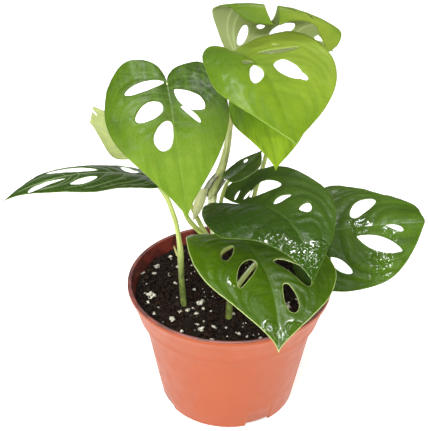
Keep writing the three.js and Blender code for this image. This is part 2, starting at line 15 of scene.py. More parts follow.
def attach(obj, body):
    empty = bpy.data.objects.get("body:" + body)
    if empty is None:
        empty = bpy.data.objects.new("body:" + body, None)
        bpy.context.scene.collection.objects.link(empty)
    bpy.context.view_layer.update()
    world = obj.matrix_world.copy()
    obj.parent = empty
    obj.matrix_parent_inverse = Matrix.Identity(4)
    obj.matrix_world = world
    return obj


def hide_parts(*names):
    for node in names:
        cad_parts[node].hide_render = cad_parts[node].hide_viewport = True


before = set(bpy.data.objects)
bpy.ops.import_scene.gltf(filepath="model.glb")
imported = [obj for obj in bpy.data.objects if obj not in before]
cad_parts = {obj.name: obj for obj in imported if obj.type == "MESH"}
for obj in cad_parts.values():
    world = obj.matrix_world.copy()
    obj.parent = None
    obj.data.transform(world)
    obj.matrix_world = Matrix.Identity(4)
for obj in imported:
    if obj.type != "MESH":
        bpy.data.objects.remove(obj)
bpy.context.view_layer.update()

MM = 0.001
BODY = "root"
SEED = 11

# ---- sizes, in millimetres ----

POT_HEIGHT = 80
RIM_RADIUS = 60
BASE_RADIUS = 40.5
POT_WALL = 1.3
LIP_WIDTH = 1.1
LIP_HEIGHT = 2.6
LIP_FOOT = POT_HEIGHT - LIP_HEIGHT
COLLAR_FOOT_RADIUS = 54
COLLAR_TOP_RADIUS = RIM_RADIUS - LIP_WIDTH
COLLAR_HEIGHT = 19
COLLAR_FOOT = POT_HEIGHT - COLLAR_HEIGHT
BODY_RADIUS = COLLAR_FOOT_RADIUS - 3        # at its top, where it steps out to the collar
BODY_TOP = COLLAR_FOOT - 2.4
DRAIN_COUNT = 4
DRAIN_WIDTH = 15.5
DRAIN_HEIGHT = 3
DRAIN_REACH = 9         # how far the slots cut in under the base
DRAIN_TURN = 26
DRAIN_CORNER = 1.2
SOIL_LEVEL = 72
SOIL_LUMPS = 0.65
PLANTED = SOIL_LEVEL - 9                    # where the stems end in the soil

BLADE_THICKNESS = 0.55
BLADE_SPACING = 0.8       # between the points of a blade's mesh
BEND_STEPS = 24         # straight pieces that a bent midrib or half blade is made of
DROOP_LENGTH = 24       # the length of a back lobe that droops by the angle given
SHOULDER_BACK = 0.22    # where a blade begins to draw in to its tip, as a share from the tip
FULL_SIZE = 70          # blades shorter than this have less relief
CRINKLE = 0.22          # height of a blade's fine waves
SWELL = 1.2             # height of its slow waves, which grow towards the margin
RIB_HEIGHT = 0.8        # how far the midrib stands out beneath
VEIN_HEIGHT = 0.2       # how far the side veins do
VEIN_SPACING = 12
STALK_SPACING = 1.0
STALK_SIDES = 20
TORN_HEIGHT = 1.6       # how uneven a sheath's torn edge is

SMALL_PERLITE = 190
CRUMBS = 1300
FIBRES = 130

# How wet a blade has to be to show the wet material, and that material's roughness and shine.
WET_EDGE = 0.14
DAMP_ROUGHNESS = 0.2
WET_ROUGHNESS = 0.04
WET_SPECULAR = 0.5
UNDERSIDE_ROUGHNESS = 0.62


# ---- small helpers ----

def srgb(red, green, blue):
    """A screen colour, 0 to 255, as a linear colour."""
    def linear(value):
        value /= 255
        return value / 12.92 if value <= 0.04045 else ((value + 0.055) / 1.055) ** 2.4
    return (linear(red), linear(green), linear(blue), 1.0)


def between(ends, s):
    return ends[0] + (ends[1] - ends[0]) * s


def smoothstep(value, low, high):
    q = np.clip((value - low) / (high - low), 0, 1)
    return q * q * (3 - 2 * q)


def wobble(x, y, z):
    return noise.noise(Vector((x, y, z)))


def unit(vectors):
    return vectors / np.maximum(np.linalg.norm(vectors, axis=-1, keepdims=True), 1e-9)


def run_of(line):
    """The length of a line up to each of its points."""
    return np.concatenate([[0], np.cumsum(np.linalg.norm(np.diff(line, axis=0), axis=1))])


def bezier(*points, count=60):
    """Points at equal steps of a cubic Bezier curve."""
    t = np.linspace(0, 1, count)[:, None]
    a, b, c, d = (np.array(p, float) for p in points)
    return (1 - t) ** 3 * a + 3 * (1 - t) ** 2 * t * b + 3 * (1 - t) * t ** 2 * c + t ** 3 * d


def resample(line, spacing):
    """The same line with points about spacing apart."""
    line = np.array(line, float)
    along = run_of(line)
    at = np.linspace(0, along[-1], max(2, int(round(along[-1] / spacing)) + 1))
    return np.stack([np.interp(at, along, line[:, i]) for i in range(line.shape[1])], axis=1)


def inside(points, polygon):
    """Which points lie inside a closed polygon."""
    x, y = points[:, 0][:, None], points[:, 1][:, None]
    x0, y0 = polygon[:, 0], polygon[:, 1]
    x1, y1 = np.roll(x0, -1), np.roll(y0, -1)
    rise = np.where(y1 == y0, 1e-12, y1 - y0)
    crosses = ((y0 > y) != (y1 > y)) & (x < (x1 - x0) * (y - y0) / rise + x0)
    return crosses.sum(axis=1) % 2 == 1


def distance_to(points, line, closed=False):
    """Distance from each point to a line of points, and the share of the line where it is nearest."""
    ends = np.vstack([line, line[:1]]) if closed else line
    best, share = np.full(len(points), 1e9), np.zeros(len(points))
    count = len(ends) - 1
    for i in range(count):
        a, b = ends[i], ends[i + 1]
        t = np.clip((points - a) @ (b - a) / max((b - a) @ (b - a), 1e-12), 0, 1)
        gap = np.linalg.norm(points - a - t[:, None] * (b - a), axis=1)
        nearer = gap < best
        best[nearer] = gap[nearer]
        share[nearer] = (i + t[nearer]) / count
    return best, share


def quads(*corners):
    """Faces from four arrays of vertex numbers."""
    return np.stack(corners, -1).reshape(-1, 4).tolist()


def ring_faces(rings, sides, start=0):
    """Faces between rings of vertices that follow each other."""
    index = start + np.arange(rings * sides).reshape(rings, sides)
    onward = np.roll(index, -1, axis=1)
    return quads(index[:-1], onward[:-1], onward[1:], index[1:])


def capped_rings(rings, sides):
    """The same, with a face at each end."""
    total = rings * sides
    return ring_faces(rings, sides) + [list(range(sides))[::-1], list(range(total - sides, total))]


def circle(radius, height, sides):
    angles = np.arange(sides) / sides * 2 * np.pi
    return [(radius * math.cos(a), radius * math.sin(a), height) for a in angles]


def link(thing):
    bpy.context.scene.collection.objects.link(thing)
    return thing


def make_piece(name, vertices, faces, material, replaced=(), slot=None, attributes=None, flat=None):
    """A mesh piece, given in millimetres, that rides on the body. flat marks faces that stay unsmoothed."""
    mesh = bpy.data.meshes.new(name)
    mesh.from_pydata((np.asarray(vertices, float) * MM).tolist(), [], [list(map(int, f)) for f in faces])
    smooth = np.ones(len(mesh.polygons), bool)
    if flat is not None:
        smooth[flat] = False
    mesh.polygons.foreach_set("use_smooth", smooth)
    for key, values in (attributes or {}).items():
        values = np.asarray(values, np.float32)
        kind = "FLOAT" if values.ndim == 1 else "FLOAT_VECTOR"
        made = mesh.attributes.new(key, kind, "POINT")
        made.data.foreach_set("value" if kind == "FLOAT" else "vector", values.ravel())
    mesh.validate()
    mesh.update()
    piece = link(bpy.data.objects.new(name, mesh))
    mesh.materials.append(material)
    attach(piece, BODY)
    if replaced:
        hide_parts(*replaced)
    return piece


def join_parts(parts):
    """Several (vertices, faces) as one."""
    vertices, faces, start = [], [], 0
    for points, polygons in parts:
        vertices.append(points)
        faces += [[start + i for i in polygon] for polygon in polygons]
        start += len(points)
    return np.vstack(vertices), faces


# ---- materials ----

class Paint:
    """A material under construction: each call adds a node and returns its output socket."""

    def __init__(self, name):
        self.material = bpy.data.materials.new(name)
        self.material.use_nodes = True
        self.tree = self.material.node_tree
        self.tree.nodes.clear()

    def node(self, kind, inputs=(), output=0, **settings):
        made = self.tree.nodes.new(f"ShaderNode{kind}")
        for key, value in settings.items():
            setattr(made, key, value)
        for key, value in dict(inputs).items():
            if isinstance(value, bpy.types.NodeSocket):
                self.tree.links.new(value, made.inputs[key])
            else:
                made.inputs[key].default_value = value
        return made.outputs[output]

    def attribute(self, name, output="Fac"):
        return self.node("Attribute", output=output, attribute_name=name)

    def place(self):
        return self.node("TexCoord", output="Object")

    def height(self):
        return self.node("SeparateXYZ", {0: self.place()}, "Z")

    def noise(self, scale, detail, roughness=0.55, vector=None):
        return self.node("TexNoise", {"Vector": vector or self.place(), "Scale": scale,
                                      "Detail": detail, "Roughness": roughness}, "Fac")

    def cells(self, scale, feature="F1"):
        return self.node("TexVoronoi", {"Vector": self.place(), "Scale": scale}, "Distance",
                         feature=feature)

    def remap(self, value, low, high, to_low=0.0, to_high=1.0, kind="SMOOTHSTEP"):
        return self.node("MapRange", {"Value": value, "From Min": low, "From Max": high,
                                      "To Min": to_low, "To Max": to_high}, interpolation_type=kind)

    def spots(self, scale, detail, low, high, to_low=0.0, to_high=1.0, **more):
        """Noise, of which the stretch from low to high fades in."""
        return self.remap(self.noise(scale, detail, **more), low, high, to_low, to_high)

    def gloss(self, scale, detail, smoothest, roughest):
        """A roughness that varies over the surface."""
        return self.remap(self.noise(scale, detail), 0.3, 0.7, smoothest, roughest, "LINEAR")

    def math(self, operation, a, b):
        return self.node("Math", {0: a, 1: b}, operation=operation)

    def times(self, a, b):
        return self.math("MULTIPLY", a, b)

    def mix(self, factor, a, b):
        return self.node("Mix", {0: factor, 6: a, 7: b}, 2, data_type="RGBA")

    def mix_values(self, factor, a, b):
        return self.node("Mix", {0: factor, 2: a, 3: b}, data_type="FLOAT")

    def layers(self, colour, *coats):
        """Coats of (amount, colour), laid one by one over a colour."""
        for amount, over in coats:
            colour = self.mix(amount, colour, over)
        return colour

    def bump(self, height, strength, distance):
        return self.node("Bump", {"Height": height, "Strength": strength, "Distance": distance})

    def skin(self, colour, roughness, normal, more=()):
        return self.node("BsdfPrincipled", {
            "Base Color": colour, "Roughness": roughness, "Normal": normal, **dict(more)})

    def finish(self, shader):
        out = self.tree.nodes.new("ShaderNodeOutputMaterial")
        self.tree.links.new(shader, out.inputs["Surface"])
        return self.material


def leaf_material(name, look, wet=False):
    """Blade: mottled green that changes from the stalk to the tip, partly its own tone and partly painted
    light and shade; painted shade along its sunken veins, a midrib that is paler partly by painted sheen,
    and painted light over a half blade that lies in the shade of others; paler and duller beneath. The
    wet kind shines in drops on top."""
    paint = Paint(name)
    near, far, deep, vein_colour, under, glint, margin = (
        srgb(*look[key]) for key in ("near", "far", "deep", "vein", "under", "glint", "margin"))
    along, across, vein, rib, rim, side = (
        paint.attribute(key) for key in ("along", "across", "vein", "rib", "rim", "top"))
    patchy = paint.math("ADD", along, paint.spots(34, 2, 0.3, 0.7, -0.16, 0.16))
    stretched = paint.node("CombineXYZ", {0: paint.times(across, 6.0), 1: paint.times(along, 1.6)})
    # how much painted light each half of the blade gets, from sides
    painted_light_share = paint.remap(across, -0.8, 0.8, *look["sides"])
    net = paint.remap(paint.cells(430, "DISTANCE_TO_EDGE"), 0.0, 0.12, 0.09, 0.0)
    green = paint.layers(
        # from the stalk to the tip: partly the blade's own change of tone, partly painted light and shade
        paint.mix(paint.remap(patchy, 0.05, 0.7), near, far),
        (paint.spots(80, 3, 0.38, 0.7, 0.0, 0.34), deep),
        (paint.spots(1.2, 3, 0.42, 0.66, 0.0, 0.42, vector=stretched), deep),
        # painted light: the glint colour over one half, fading towards the tip, lifts a half that lies in
        # other blades' shade
        (paint.times(painted_light_share, paint.math("SUBTRACT", 1.0, along)), glint),
        # painted shade: darker along the sunken side veins
        (paint.remap(vein, 0.2, 2.4, look["groove"], 0.0), deep),
        (net, vein_colour),
        (paint.remap(vein, 0.1, 0.75, look["veins"], 0.0), vein_colour),
        # a paler midrib: partly its own colour, partly a painted sheen along it
        (paint.remap(rib, 0.2, 0.75, look["rib"], 0.0), vein_colour),
        (paint.spots(800, 3, 0.6, 0.74, 0.0, 0.16), vein_colour))
    pale = paint.layers(
        paint.mix(paint.spots(60, 3, 0.35, 0.65), under, paint.mix(0.3, under, far)),
        (paint.remap(vein, 0.1, 0.8, 0.45, 0.0), srgb(206, 220, 160)),
        (paint.remap(rib, 0.4, 1.1, 0.8, 0.0), srgb(214, 224, 168)))
    colour = paint.mix(paint.remap(rim, 0.1, 0.55, look["edge"], 0.0), paint.mix(side, pale, green), margin)
    shine = paint.gloss(230, 3, *look["roughness"])
    relief = paint.math("ADD", paint.noise(620, 3), paint.times(paint.noise(210, 2), 1.6))
    relief = paint.times(paint.math("ADD", relief, paint.times(net, -1.2)), 0.35)
    if wet:
        soaked = paint.remap(paint.attribute("wet"), WET_EDGE, 0.5)
        shine = paint.mix_values(soaked, DAMP_ROUGHNESS, WET_ROUGHNESS)
        drops = paint.times(paint.noise(460, 1), paint.times(soaked, 1.6))
        relief = paint.math("ADD", relief, drops)
    normal = paint.bump(relief, look["bump"], 0.0006)
    shader = paint.skin(colour, paint.mix_values(side, UNDERSIDE_ROUGHNESS, shine), normal,
                        {"Specular IOR Level": WET_SPECULAR if wet else look["specular"]})
    glow = paint.node("BsdfTranslucent", {"Color": colour, "Normal": normal})
    return paint.finish(paint.node("MixShader", {0: look["glow"], 1: shader, 2: glow}))


def stalk_material(name, fresh, shade, old, cream_below=None):
    """Smooth green stalk with fine streaks along it, older and duller towards the soil."""
    paint = Paint(name)
    fresh, shade, old = srgb(*fresh), srgb(*shade), srgb(*old)
    grain = paint.attribute("grain", "Vector")
    streak = paint.spots(900, 4, 0.35, 0.68, vector=grain)
    colour = paint.mix(streak, fresh, shade)
    if cream_below:
        low_down = paint.remap(paint.height(), cream_below - 0.004, cream_below, 1.0, 0.0)
        cream = paint.mix(streak, srgb(240, 242, 204), srgb(206, 212, 156))
        colour = paint.mix(low_down, colour, cream)
    worn = paint.mix(paint.spots(260, 4, 0.4, 0.62, 0.0, 0.5), old, shade)
    colour = paint.layers(colour, (paint.attribute("age"), worn),
                          (paint.remap(paint.cells(1500), 0.12, 0.3, 0.3, 0.0), fresh))
    relief = paint.math("ADD", paint.noise(900, 4, vector=grain), paint.noise(1800, 2))
    return paint.finish(paint.skin(colour, paint.gloss(500, 2, 0.34, 0.54), paint.bump(relief, 0.3, 0.0003),
                                   {"Subsurface Weight": 0.12, "Subsurface Scale": 0.002}))


def sheath_material(name, pale, brown):
    """Dry papery sheath with fibres along it."""
    paint = Paint(name)
    grain = paint.attribute("grain", "Vector")
    colour = paint.layers(srgb(*pale), (paint.spots(1500, 5, 0.38, 0.62, vector=grain), srgb(*brown)),
                          (paint.spots(350, 3, 0.5, 0.7, 0.0, 0.7), srgb(*brown)))
    normal = paint.bump(paint.noise(1500, 5, vector=grain), 0.6, 0.0005)
    return paint.finish(paint.skin(colour, 0.75, normal))


def pot_material():
    """Matt terracotta-coloured plastic, dark red-brown on the inside and over the lip: fine speckle,
    faint mould lines and scuffs."""
    paint = Paint("pot_plastic")
    damp = paint.mix(paint.spots(160, 4, 0.4, 0.65), srgb(134, 56, 44), srgb(84, 36, 31))
    colour = paint.layers(
        srgb(166, 74, 20),
        (paint.spots(1400, 3, 0.42, 0.6), srgb(160, 69, 18)),
        (paint.spots(28, 4, 0.4, 0.68, 0.0, 0.35), srgb(158, 70, 27)),
        (paint.spots(190, 6, 0.66, 0.74, 0.0, 0.3, roughness=0.7), srgb(176, 94, 52)),
        (paint.attribute("inner"), damp))
    upwards = paint.node("CombineXYZ", {"Z": paint.times(paint.height(), 1600.0)})
    rings = paint.noise(1.0, 2, 0.5, upwards)
    relief = paint.math("ADD", paint.times(rings, 0.5), paint.noise(1600, 2))
    return paint.finish(paint.skin(colour, paint.gloss(120, 3, 0.36, 0.5), paint.bump(relief, 0.16, 0.0003),
                                   {"Specular IOR Level": 0.45}))


def soil_material(name, tone, dark, fleck, rough=0.95):
    paint = Paint(name)
    colour = paint.layers(
        srgb(*tone),
        (paint.spots(600, 6, 0.4, 0.62, roughness=0.7), srgb(*dark)),
        (paint.spots(1300, 3, 0.62, 0.72, 0.0, 0.8), srgb(*fleck)))
    relief = paint.math("ADD", paint.noise(1600, 6, 0.75), paint.cells(900))
    return paint.finish(paint.skin(colour, rough, paint.bump(relief, 0.9, 0.0012),
                                   {"Specular IOR Level": 0.03}))


def perlite_material():
    paint = Paint("perlite")
    tone = paint.spots(900, 5, 0.4, 0.65, roughness=0.7)
    colour = paint.mix(tone, srgb(236, 232, 218), srgb(186, 178, 160))
    return paint.finish(paint.skin(colour, 0.9, paint.bump(paint.noise(2600, 4), 0.7, 0.0005)))


# ---- blades ----

def half(width, lobe, fold, curl, droop=0, shift=0.0, flap=None, edge=None):
    """One half of a blade; fold and curl in degrees at the stalk and at the tip."""
    return {"width": width, "lobe": lobe, "droop": droop, "shift": shift, "fold": fold,
            "curl": curl, "flap": flap, "edge": edge}


def blade(base, turns, shape, bends, left, right, look, holes=(), wet=()):
    """A blade. base: where the stalk meets it. turns: heading, pitch and roll. shape: length, widest
    place, fullness and taper. bends: its bend at the stalk and the change of it, sweep and twist.
    holes: see hole_edge. wet: across, along and radius of the patches that are wet."""
    leaf = {"base": base, "left": left, "right": right, "look": look, "holes": holes, "wet": wet}
    leaf.update(zip(("heading", "pitch", "roll"), turns))
    leaf.update(zip(("length", "widest", "fullness", "taper"), shape))
    leaf.update(zip(("bend", "sweep", "twist"), bends))
    return leaf


# groove: how much painted shade darkens a blade along its sunken side veins; sides: how much painted light of
# the glint colour is laid over each half, fading towards the tip
BRIGHT = {"near": (88, 122, 38), "far": (132, 172, 26), "deep": (84, 122, 20), "vein": (150, 182, 92),
          "under": (182, 198, 128), "margin": (160, 186, 80), "glint": (150, 186, 24),
          "sides": (0.0, 0.0), "groove": 0.2, "veins": 0.09, "rib": 0.15, "edge": 0.08,
          "roughness": (0.3, 0.4), "bump": 0.3, "specular": 0.04, "glow": 0.28, "quilt": 0.26}
DARK = {"near": (50, 74, 18), "far": (64, 96, 6), "deep": (40, 64, 6), "vein": (108, 138, 78),
        "under": (140, 160, 98), "margin": (120, 150, 60), "glint": (96, 132, 14),
        "sides": (0.0, 0.0), "groove": 0.35, "veins": 0.12, "rib": 0.32, "edge": 0.4,
        "roughness": (0.28, 0.36), "bump": 0.8, "specular": 0.07, "glow": 0.14, "quilt": 0.5}

LEAVES = {
    "front_left": blade(
        (-35, 0.5, 206), (-81, -18, 0), (81.5, 0.28, 0.43, 0.13), ((-24, -9), -3, -5),
        half(29.5, 11, (14, 5), (-8, -20), 4, -0.02), half(34.5, 16, (8, 9), (-28, -17), -8),
        # painted light: the glint colour over its right half, fading towards the tip
        dict(BRIGHT, near=(46, 66, 22), far=(122, 150, 48), sides=(0.0, 0.3), glint=(110, 150, 8)),
        [(12.4, 3.9, 22.8, 7.1, -159, 0.09, 0.13, 0, -0.7),
         (11.9, 21.8, 18.2, 9.9, -139, -0.25, -0.1, 0.17), (5.5, 36.5, 19, 9.5, 71, -0.25, -0.25, 0.15, 0.6),
         (-9.8, 15, 21, 9.9, 131, -0.29, 0.44, 0.55, 0.5), (-9.6, 24.7, 14.6, 3, 126, 0, -0.2, 0, -0.4)]),
    "top_front": blade(
        (2, 1, 221), (-54, 16, -29), (84.5, 0.4, 0.38, 0.19), ((-102, 67), 11, 4),
        half(38.5, 12.5, (34, 5), (10, -8), -2, -0.13), half(30.7, 4.5, (10, -13), (-68, -25), -128),
        # painted light: the pale glint colour over its left half, which lies in the shade of top_arched
        dict(BRIGHT, near=(90, 121, 32), far=(119, 149, 28), glow=0.34, sides=(0.45, 0.0),
             glint=(200, 216, 84), margin=(176, 200, 96), edge=0.3),
        [(5.9, 31.9, 21.6, 7.3, 62, 0.08, 0.1, 0.07, 0.4),
         (-12.9, 29, 17.4, 11.3, 107, 0.13, -0.3, 0.1, 0.9), (-16.7, 11.6, 21.5, 5, 161, 0.4, 0.8, 0, 1.4),
         (-19.6, 6.2, 3.8, 1.6, 149), (6.9, 21.1, 9.2, 3.6, -150, 0.17, 0, 0.5), (-16.6, 34.6, 9, 5, 120)]),
    "top_arched": blade(
        (2.4, 28, 209.8), (4, 20, -40), (54, 0.32, 0.45, 0.12), ((-11, -30), -19, 16),
        half(24.5, 8, (0, -8), (-10, -10)),
        half(44.5, 5.5, (45, 20), (-4, -29), 1, flap=(0.62, 0.26, (-122, -95)), edge=(
            (0, 0), (1, -3), (5, -5), (12, -5.5), (20, -5.5), (28, -5), (32, -3.5), (34, 0), (36.5, 4.5),
            (40, 6.5), (44, 9), (45.5, 13), (45.5, 18), (44.5, 23), (42, 26), (40, 29), (38, 34.5),
            (38, 38.5), (41, 40.5), (44, 43), (46.5, 47.5), (40.5, 51), (36.5, 51.5), (33.5, 51),
            (30.5, 49.5), (22, 48.5), (12, 47), (5, 47.5), (2, 50), (0, 54))),
        dict(BRIGHT, near=(92, 116, 36), far=(130, 148, 52), under=(158, 171, 112)),
        [(11.1, 5.8, 13.4, 4.7, -153, -0.12, 0, 0, 0.4), (14.6, 15.2, 4.1, 3.2, 97, 0.18, 0.6, 0.1, -0.5),
         (12.2, 25, 14.9, 7.5, 53, -0.1, 0.6, 0.5, -1.4), (7.7, 43.8, 7.1, 4, -34, 0, 1, 1.1, 1.5),
         (32, 20.5, 28, 5.2, 3), (33.5, 27.6, 6, 1.5, 68, 0.5), (32.6, 31.4, 3.6, 1.1, 100, 0.4),
         (34.5, 36, 3, 1, 55, 0.4)]),
    "hanging_back": blade(
        (16, 17.5, 187.5), (-70, -37, -4), (41.5, 0.27, 0.38, 0.1), ((-4, -5), 9, -3),
        half(24, 9, (10, 5), (-20, -20)), half(22, 9, (12, 21), (-21, -8)),
        dict(BRIGHT, near=(129, 166, 36), far=(164, 196, 50), glow=0.36)),
    "far_left": blade(
        (-43, 6.5, 144), (187, 17, 17), (86.5, 0.32, 0.46, 0.13), ((-31, -15), -4, -8),
        half(25, 6, (3, -4), (-11, -18)), half(26.5, 6, (2, 2), (-12, -22)),
        # its pale veins and midrib are partly its own paler veins and partly a painted sheen
        dict(DARK, near=(39, 66, 6), far=(46, 75, 8), vein=(168, 186, 140), veins=0.38, rib=0.6),
        [(-4, 61.5, 22, 5.5, -87, 0.3, 0, 0.3, -1.2), (-9.8, 41, 16.8, 6.9, -72, 0, 0, 0.7, 0.9),
         (9, 45.5, 29, 8.5, -107, -0.1, 0, 0.3, -0.7), (12, 13.5, 18.5, 9, 10, 0.3, 0, 0.1, 0.2)]),
    "centre_right": blade(
        (7.5, 0, 131.5), (-46, 24, -24), (87.5, 0.28, 0.44, 0.12), ((-43, -25), 24, 2),
        half(33, 19.5, (48, 1), (1, -26), -11, -0.04, edge=(
            (0, 0), (-0.6, -8), (-1.2, -16), (-1.8, -22), (-4, -24), (-8, -23), (-14, -21), (-21.5, -18),
            (-27, -12.5), (-30.5, -3), (-31.7, 4), (-32.4, 10), (-32.6, 16), (-32.5, 22), (-32.2, 28),
            (-31, 33.5), (-29.3, 39.4), (-26, 46), (-22, 53), (-18, 59.7), (-13, 66.5), (-9, 72.2),
            (-5.7, 77), (-3.3, 80.6), (-1.2, 84.5), (0, 87.5))),
        half(37, 11.5, (-5, -15), (-30, -27), -11, edge=(
            (0, 0), (1.5, -5), (5, -10), (9, -13.5), (13, -15), (17.5, -14.3), (21.5, -11.5), (25, -8),
            (28.5, -4), (32, 1), (34.7, 7), (36.6, 13), (37.8, 20), (38.2, 27.5), (37.2, 33.5),
            (35, 38), (32, 42), (28.3, 46), (23.5, 51.5), (18.8, 57), (12.5, 65.5), (7, 73.5), (3, 80.5),
            (1, 84.5), (0, 87.5))),
        # painted light: the glint colour over its left half, which lies in the shade of the blades above
        dict(DARK, near=(58, 84, 18), far=(42, 75, 0), sides=(0.6, 0.0), glint=(98, 130, 46)),
        [(-13.6, 5, 18.4, 11, -43, -0.11, 0.1, 0.1, 2.2),
         (-9.5, 22.2, 11.3, 4.6, 173, 0.28, 0.4, 0.1, -1.1), (-13.8, 37.5, 7.9, 5.8, -145, 0.38, -0.3, 0, 0.2),
         (-6, -11.1, 8, 2, -167, 0.28, 0.6, 0.1, -0.4), (-7.9, -3.4, 8, 2.4, -179, 0.36, -0.2, 0.2, 0.2)],
        [(17, 49, 5), (11.5, 56.5, 5), (6, 64, 5), (0, 71, 6), (-3, 78, 5), (-8, 66, 4)]),
    "over_rim": blade(
        (5.5, -5.5, 111.5), (-60, 7, -8), (90, 0.31, 0.47, 0.08), ((-43, 13), 33, 0),
        half(41, 12, (10, 10), (-21, -18)), half(40, 14.5, (7, 9), (-3, -13), 16),
        dict(DARK, near=(90, 124, 0), far=(62, 91, 0), deep=(62, 94, 2), margin=(190, 206, 130),
             edge=0.9, rib=0.45),
        [(16.2, 16.7, 20.2, 6, -126, 0.25, -0.15, 0.5, -0.8), (12, 36.8, 28.4, 8, 59, 0.35, -0.1, 0, 1.3),
         (-8.3, 56.1, 20.2, 6.9, 93, -0.24, -0.4), (-15.4, 37.4, 25.3, 8.2, 121, -0.08, -0.4, 0.1, -2.6)],
        [(-1, 83, 6), (4, 76, 4), (-8, 76, 4), (19, 44, 4)]),
    "right": blade(
        (47.5, 14.5, 103.5), (-15, 20, 24), (67, 0.31, 0.52, 0.81), ((-13, 3), 0, -2),
        half(38, 12.5, (-3, -14), (-6, -31), 0, -0.02, edge=(
            (0, 0), (-4, -3), (-9, -4), (-14, -1.5), (-20, 1), (-27, 1), (-33, 2.5), (-37, 5.5),
            (-38.8, 9), (-39.3, 14.5), (-38.3, 20.5), (-37, 28), (-34.7, 36.5), (-31, 45.5),
            (-24.8, 54.3), (-18.7, 60.3), (-13.5, 63), (-7.5, 64.8), (-2.8, 66.8), (0, 67))),
        half(37, 12, (-15, -16), (-19, -20)),
        # painted light: the glint colour over its left half, which lies in the shade of centre_right
        dict(DARK, near=(55, 82, 15), far=(76, 109, 16), sides=(0.4, 0.0), glint=(116, 146, 66)),
        [(-17, 30, 21.4, 10.6, 149, -0.17, -0.25, 0.17, -1.3), (2, 49.5, 11.5, 3, 68, -0.5, 0.8, 0, -0.6),
         (11.1, 40.7, 28, 8.5, 68, 0, 0.9, 0.5, 0.2), (21.9, 17.5, 16.3, 6, 50, 0.05, 1, 0.16, 0.6)],
        [(-2.5, 30.5, 5), (6.5, 46.5, 4), (20, 41.5, 5), (28.5, 40.5, 5)]),
    "small_at_node": blade(
        (-1.5, 3, 145.7), (42, 12, -1), (30, 0.42, 0.45, 0.12), ((-1, 8), -13, -6),
        half(7.5, 1.5, (14, 12), (-22, -25)), half(9.5, 1.5, (18, 16), (-14, -17)),
        dict(DARK, near=(91, 119, 38), far=(100, 124, 42)), [(-3.2, 18, 4, 2, 100)]),
    "behind_left": blade(
        (-54, 11, 164.5), (161, 17, 65), (32.5, 0.35, 0.5, 0.13), ((7, 13), 30, 13),
        half(24.5, 4, (10, 9), (-48, -51), 0, 0.02), half(18, 4, (3, 1), (-23, -26)),
        # its underside colour is brightened: painted light for what shines through it from behind
        dict(BRIGHT, near=(84, 116, 50), far=(92, 124, 50), under=(236, 246, 162), glow=0.42),
        [(-14, 28, 15, 4.5, 140)]),
}

DRY_TONGUE = blade(
    (-14.9, 6, 136.5), (189, -70, -90), (20, 0.3, 0.5, 0.3), ((6, 0), 0, 12),
    half(3.4, 1, (-10, 0), (-60, -30)), half(3.4, 1, (-10, 0), (-60, -30)),
    dict(BRIGHT, near=(232, 234, 190), far=(240, 240, 200), deep=(212, 210, 158), under=(236, 236, 196),
         margin=(220, 216, 170), roughness=(0.6, 0.75), specular=0.2, quilt=0.3, glow=0.45))


def spread_halves(leaf, across, s):
    """How far to the side of the midrib and above it points lie, with both halves folded and curled."""
    reach = np.abs(across) / BEND_STEPS
    out, lift = np.zeros_like(across), np.zeros_like(across)
    for name, side, mask in (("left", -1, across < 0), ("right", 1, across >= 0)):
        part = leaf[name]
        fold, curl = (np.radians(between(part[key], s)) for key in ("fold", "curl"))
        for i in range(BEND_STEPS):
            u = np.abs(across) / part["width"] * (i + 0.5) / BEND_STEPS
            tilt = fold + curl * u
            if part["flap"]:
                start, over, turn = part["flap"]
                tilt = tilt + np.radians(between(turn, s)) * smoothstep(u, start, start + over)
            out += np.where(mask, np.cos(tilt) * reach * side, 0)
            lift += np.where(mask, np.sin(tilt) * reach, 0)
    twist = np.radians(leaf["twist"] * s)
    return out * np.cos(twist) + lift * np.sin(twist), lift * np.cos(twist) - out * np.sin(twist)


def midrib_way(leaf, s):
    """The direction of the midrib at a share of its length, and its sweep there."""
    bend = np.radians(leaf["bend"][0] * s + leaf["bend"][1] * s * s)
    sweep = np.radians(leaf["sweep"] * s)
    level = np.cos(bend)
    return np.stack([level * np.sin(sweep), level * np.cos(sweep), np.sin(bend)], -1), sweep


def pose_blade(leaf, across, along):
    """Where points of the flat blade lie once it is bent and posed: across + to the right of the
    midrib, along from the stalk to the tip. The same rule places the CAD blades."""
    across, along = np.asarray(across, float), np.asarray(along, float)
    s = np.clip(along / leaf["length"], 0, 1)
    outward, upward = spread_halves(leaf, across, s)
    midrib = np.zeros(across.shape + (3,))
    step = (s * leaf["length"] / BEND_STEPS)[..., None]
    for i in range(BEND_STEPS):
        midrib += midrib_way(leaf, s * (i + 0.5) / BEND_STEPS)[0] * step
    back = np.maximum(0, -along)
    droop = np.where(across < 0, leaf["left"]["droop"], leaf["right"]["droop"])
    droop = np.radians(droop) * back / DROOP_LENGTH
    midrib[..., 1] -= back * np.cos(droop)
    midrib[..., 2] -= back * np.sin(droop)

    tangent, sweep = midrib_way(leaf, s)
    sideways = np.stack([np.cos(sweep), -np.sin(sweep), np.zeros_like(sweep)], -1)
    normal = np.cross(sideways, tangent)
    local = midrib + sideways * outward[..., None] + normal * upward[..., None]

    heading, pitch, roll = (math.radians(leaf[key]) for key in ("heading", "pitch", "roll"))
    forward = np.array([math.cos(pitch) * math.cos(heading), math.cos(pitch) * math.sin(heading),
                        math.sin(pitch)])
    level = np.array([math.sin(heading), -math.cos(heading), 0])
    above = np.cross(level, forward)
    right = level * math.cos(roll) - above * math.sin(roll)
    up = level * math.sin(roll) + above * math.cos(roll)
    return np.array(leaf["base"]) + local[..., :1] * right + local[..., 1:2] * forward + local[..., 2:] * up


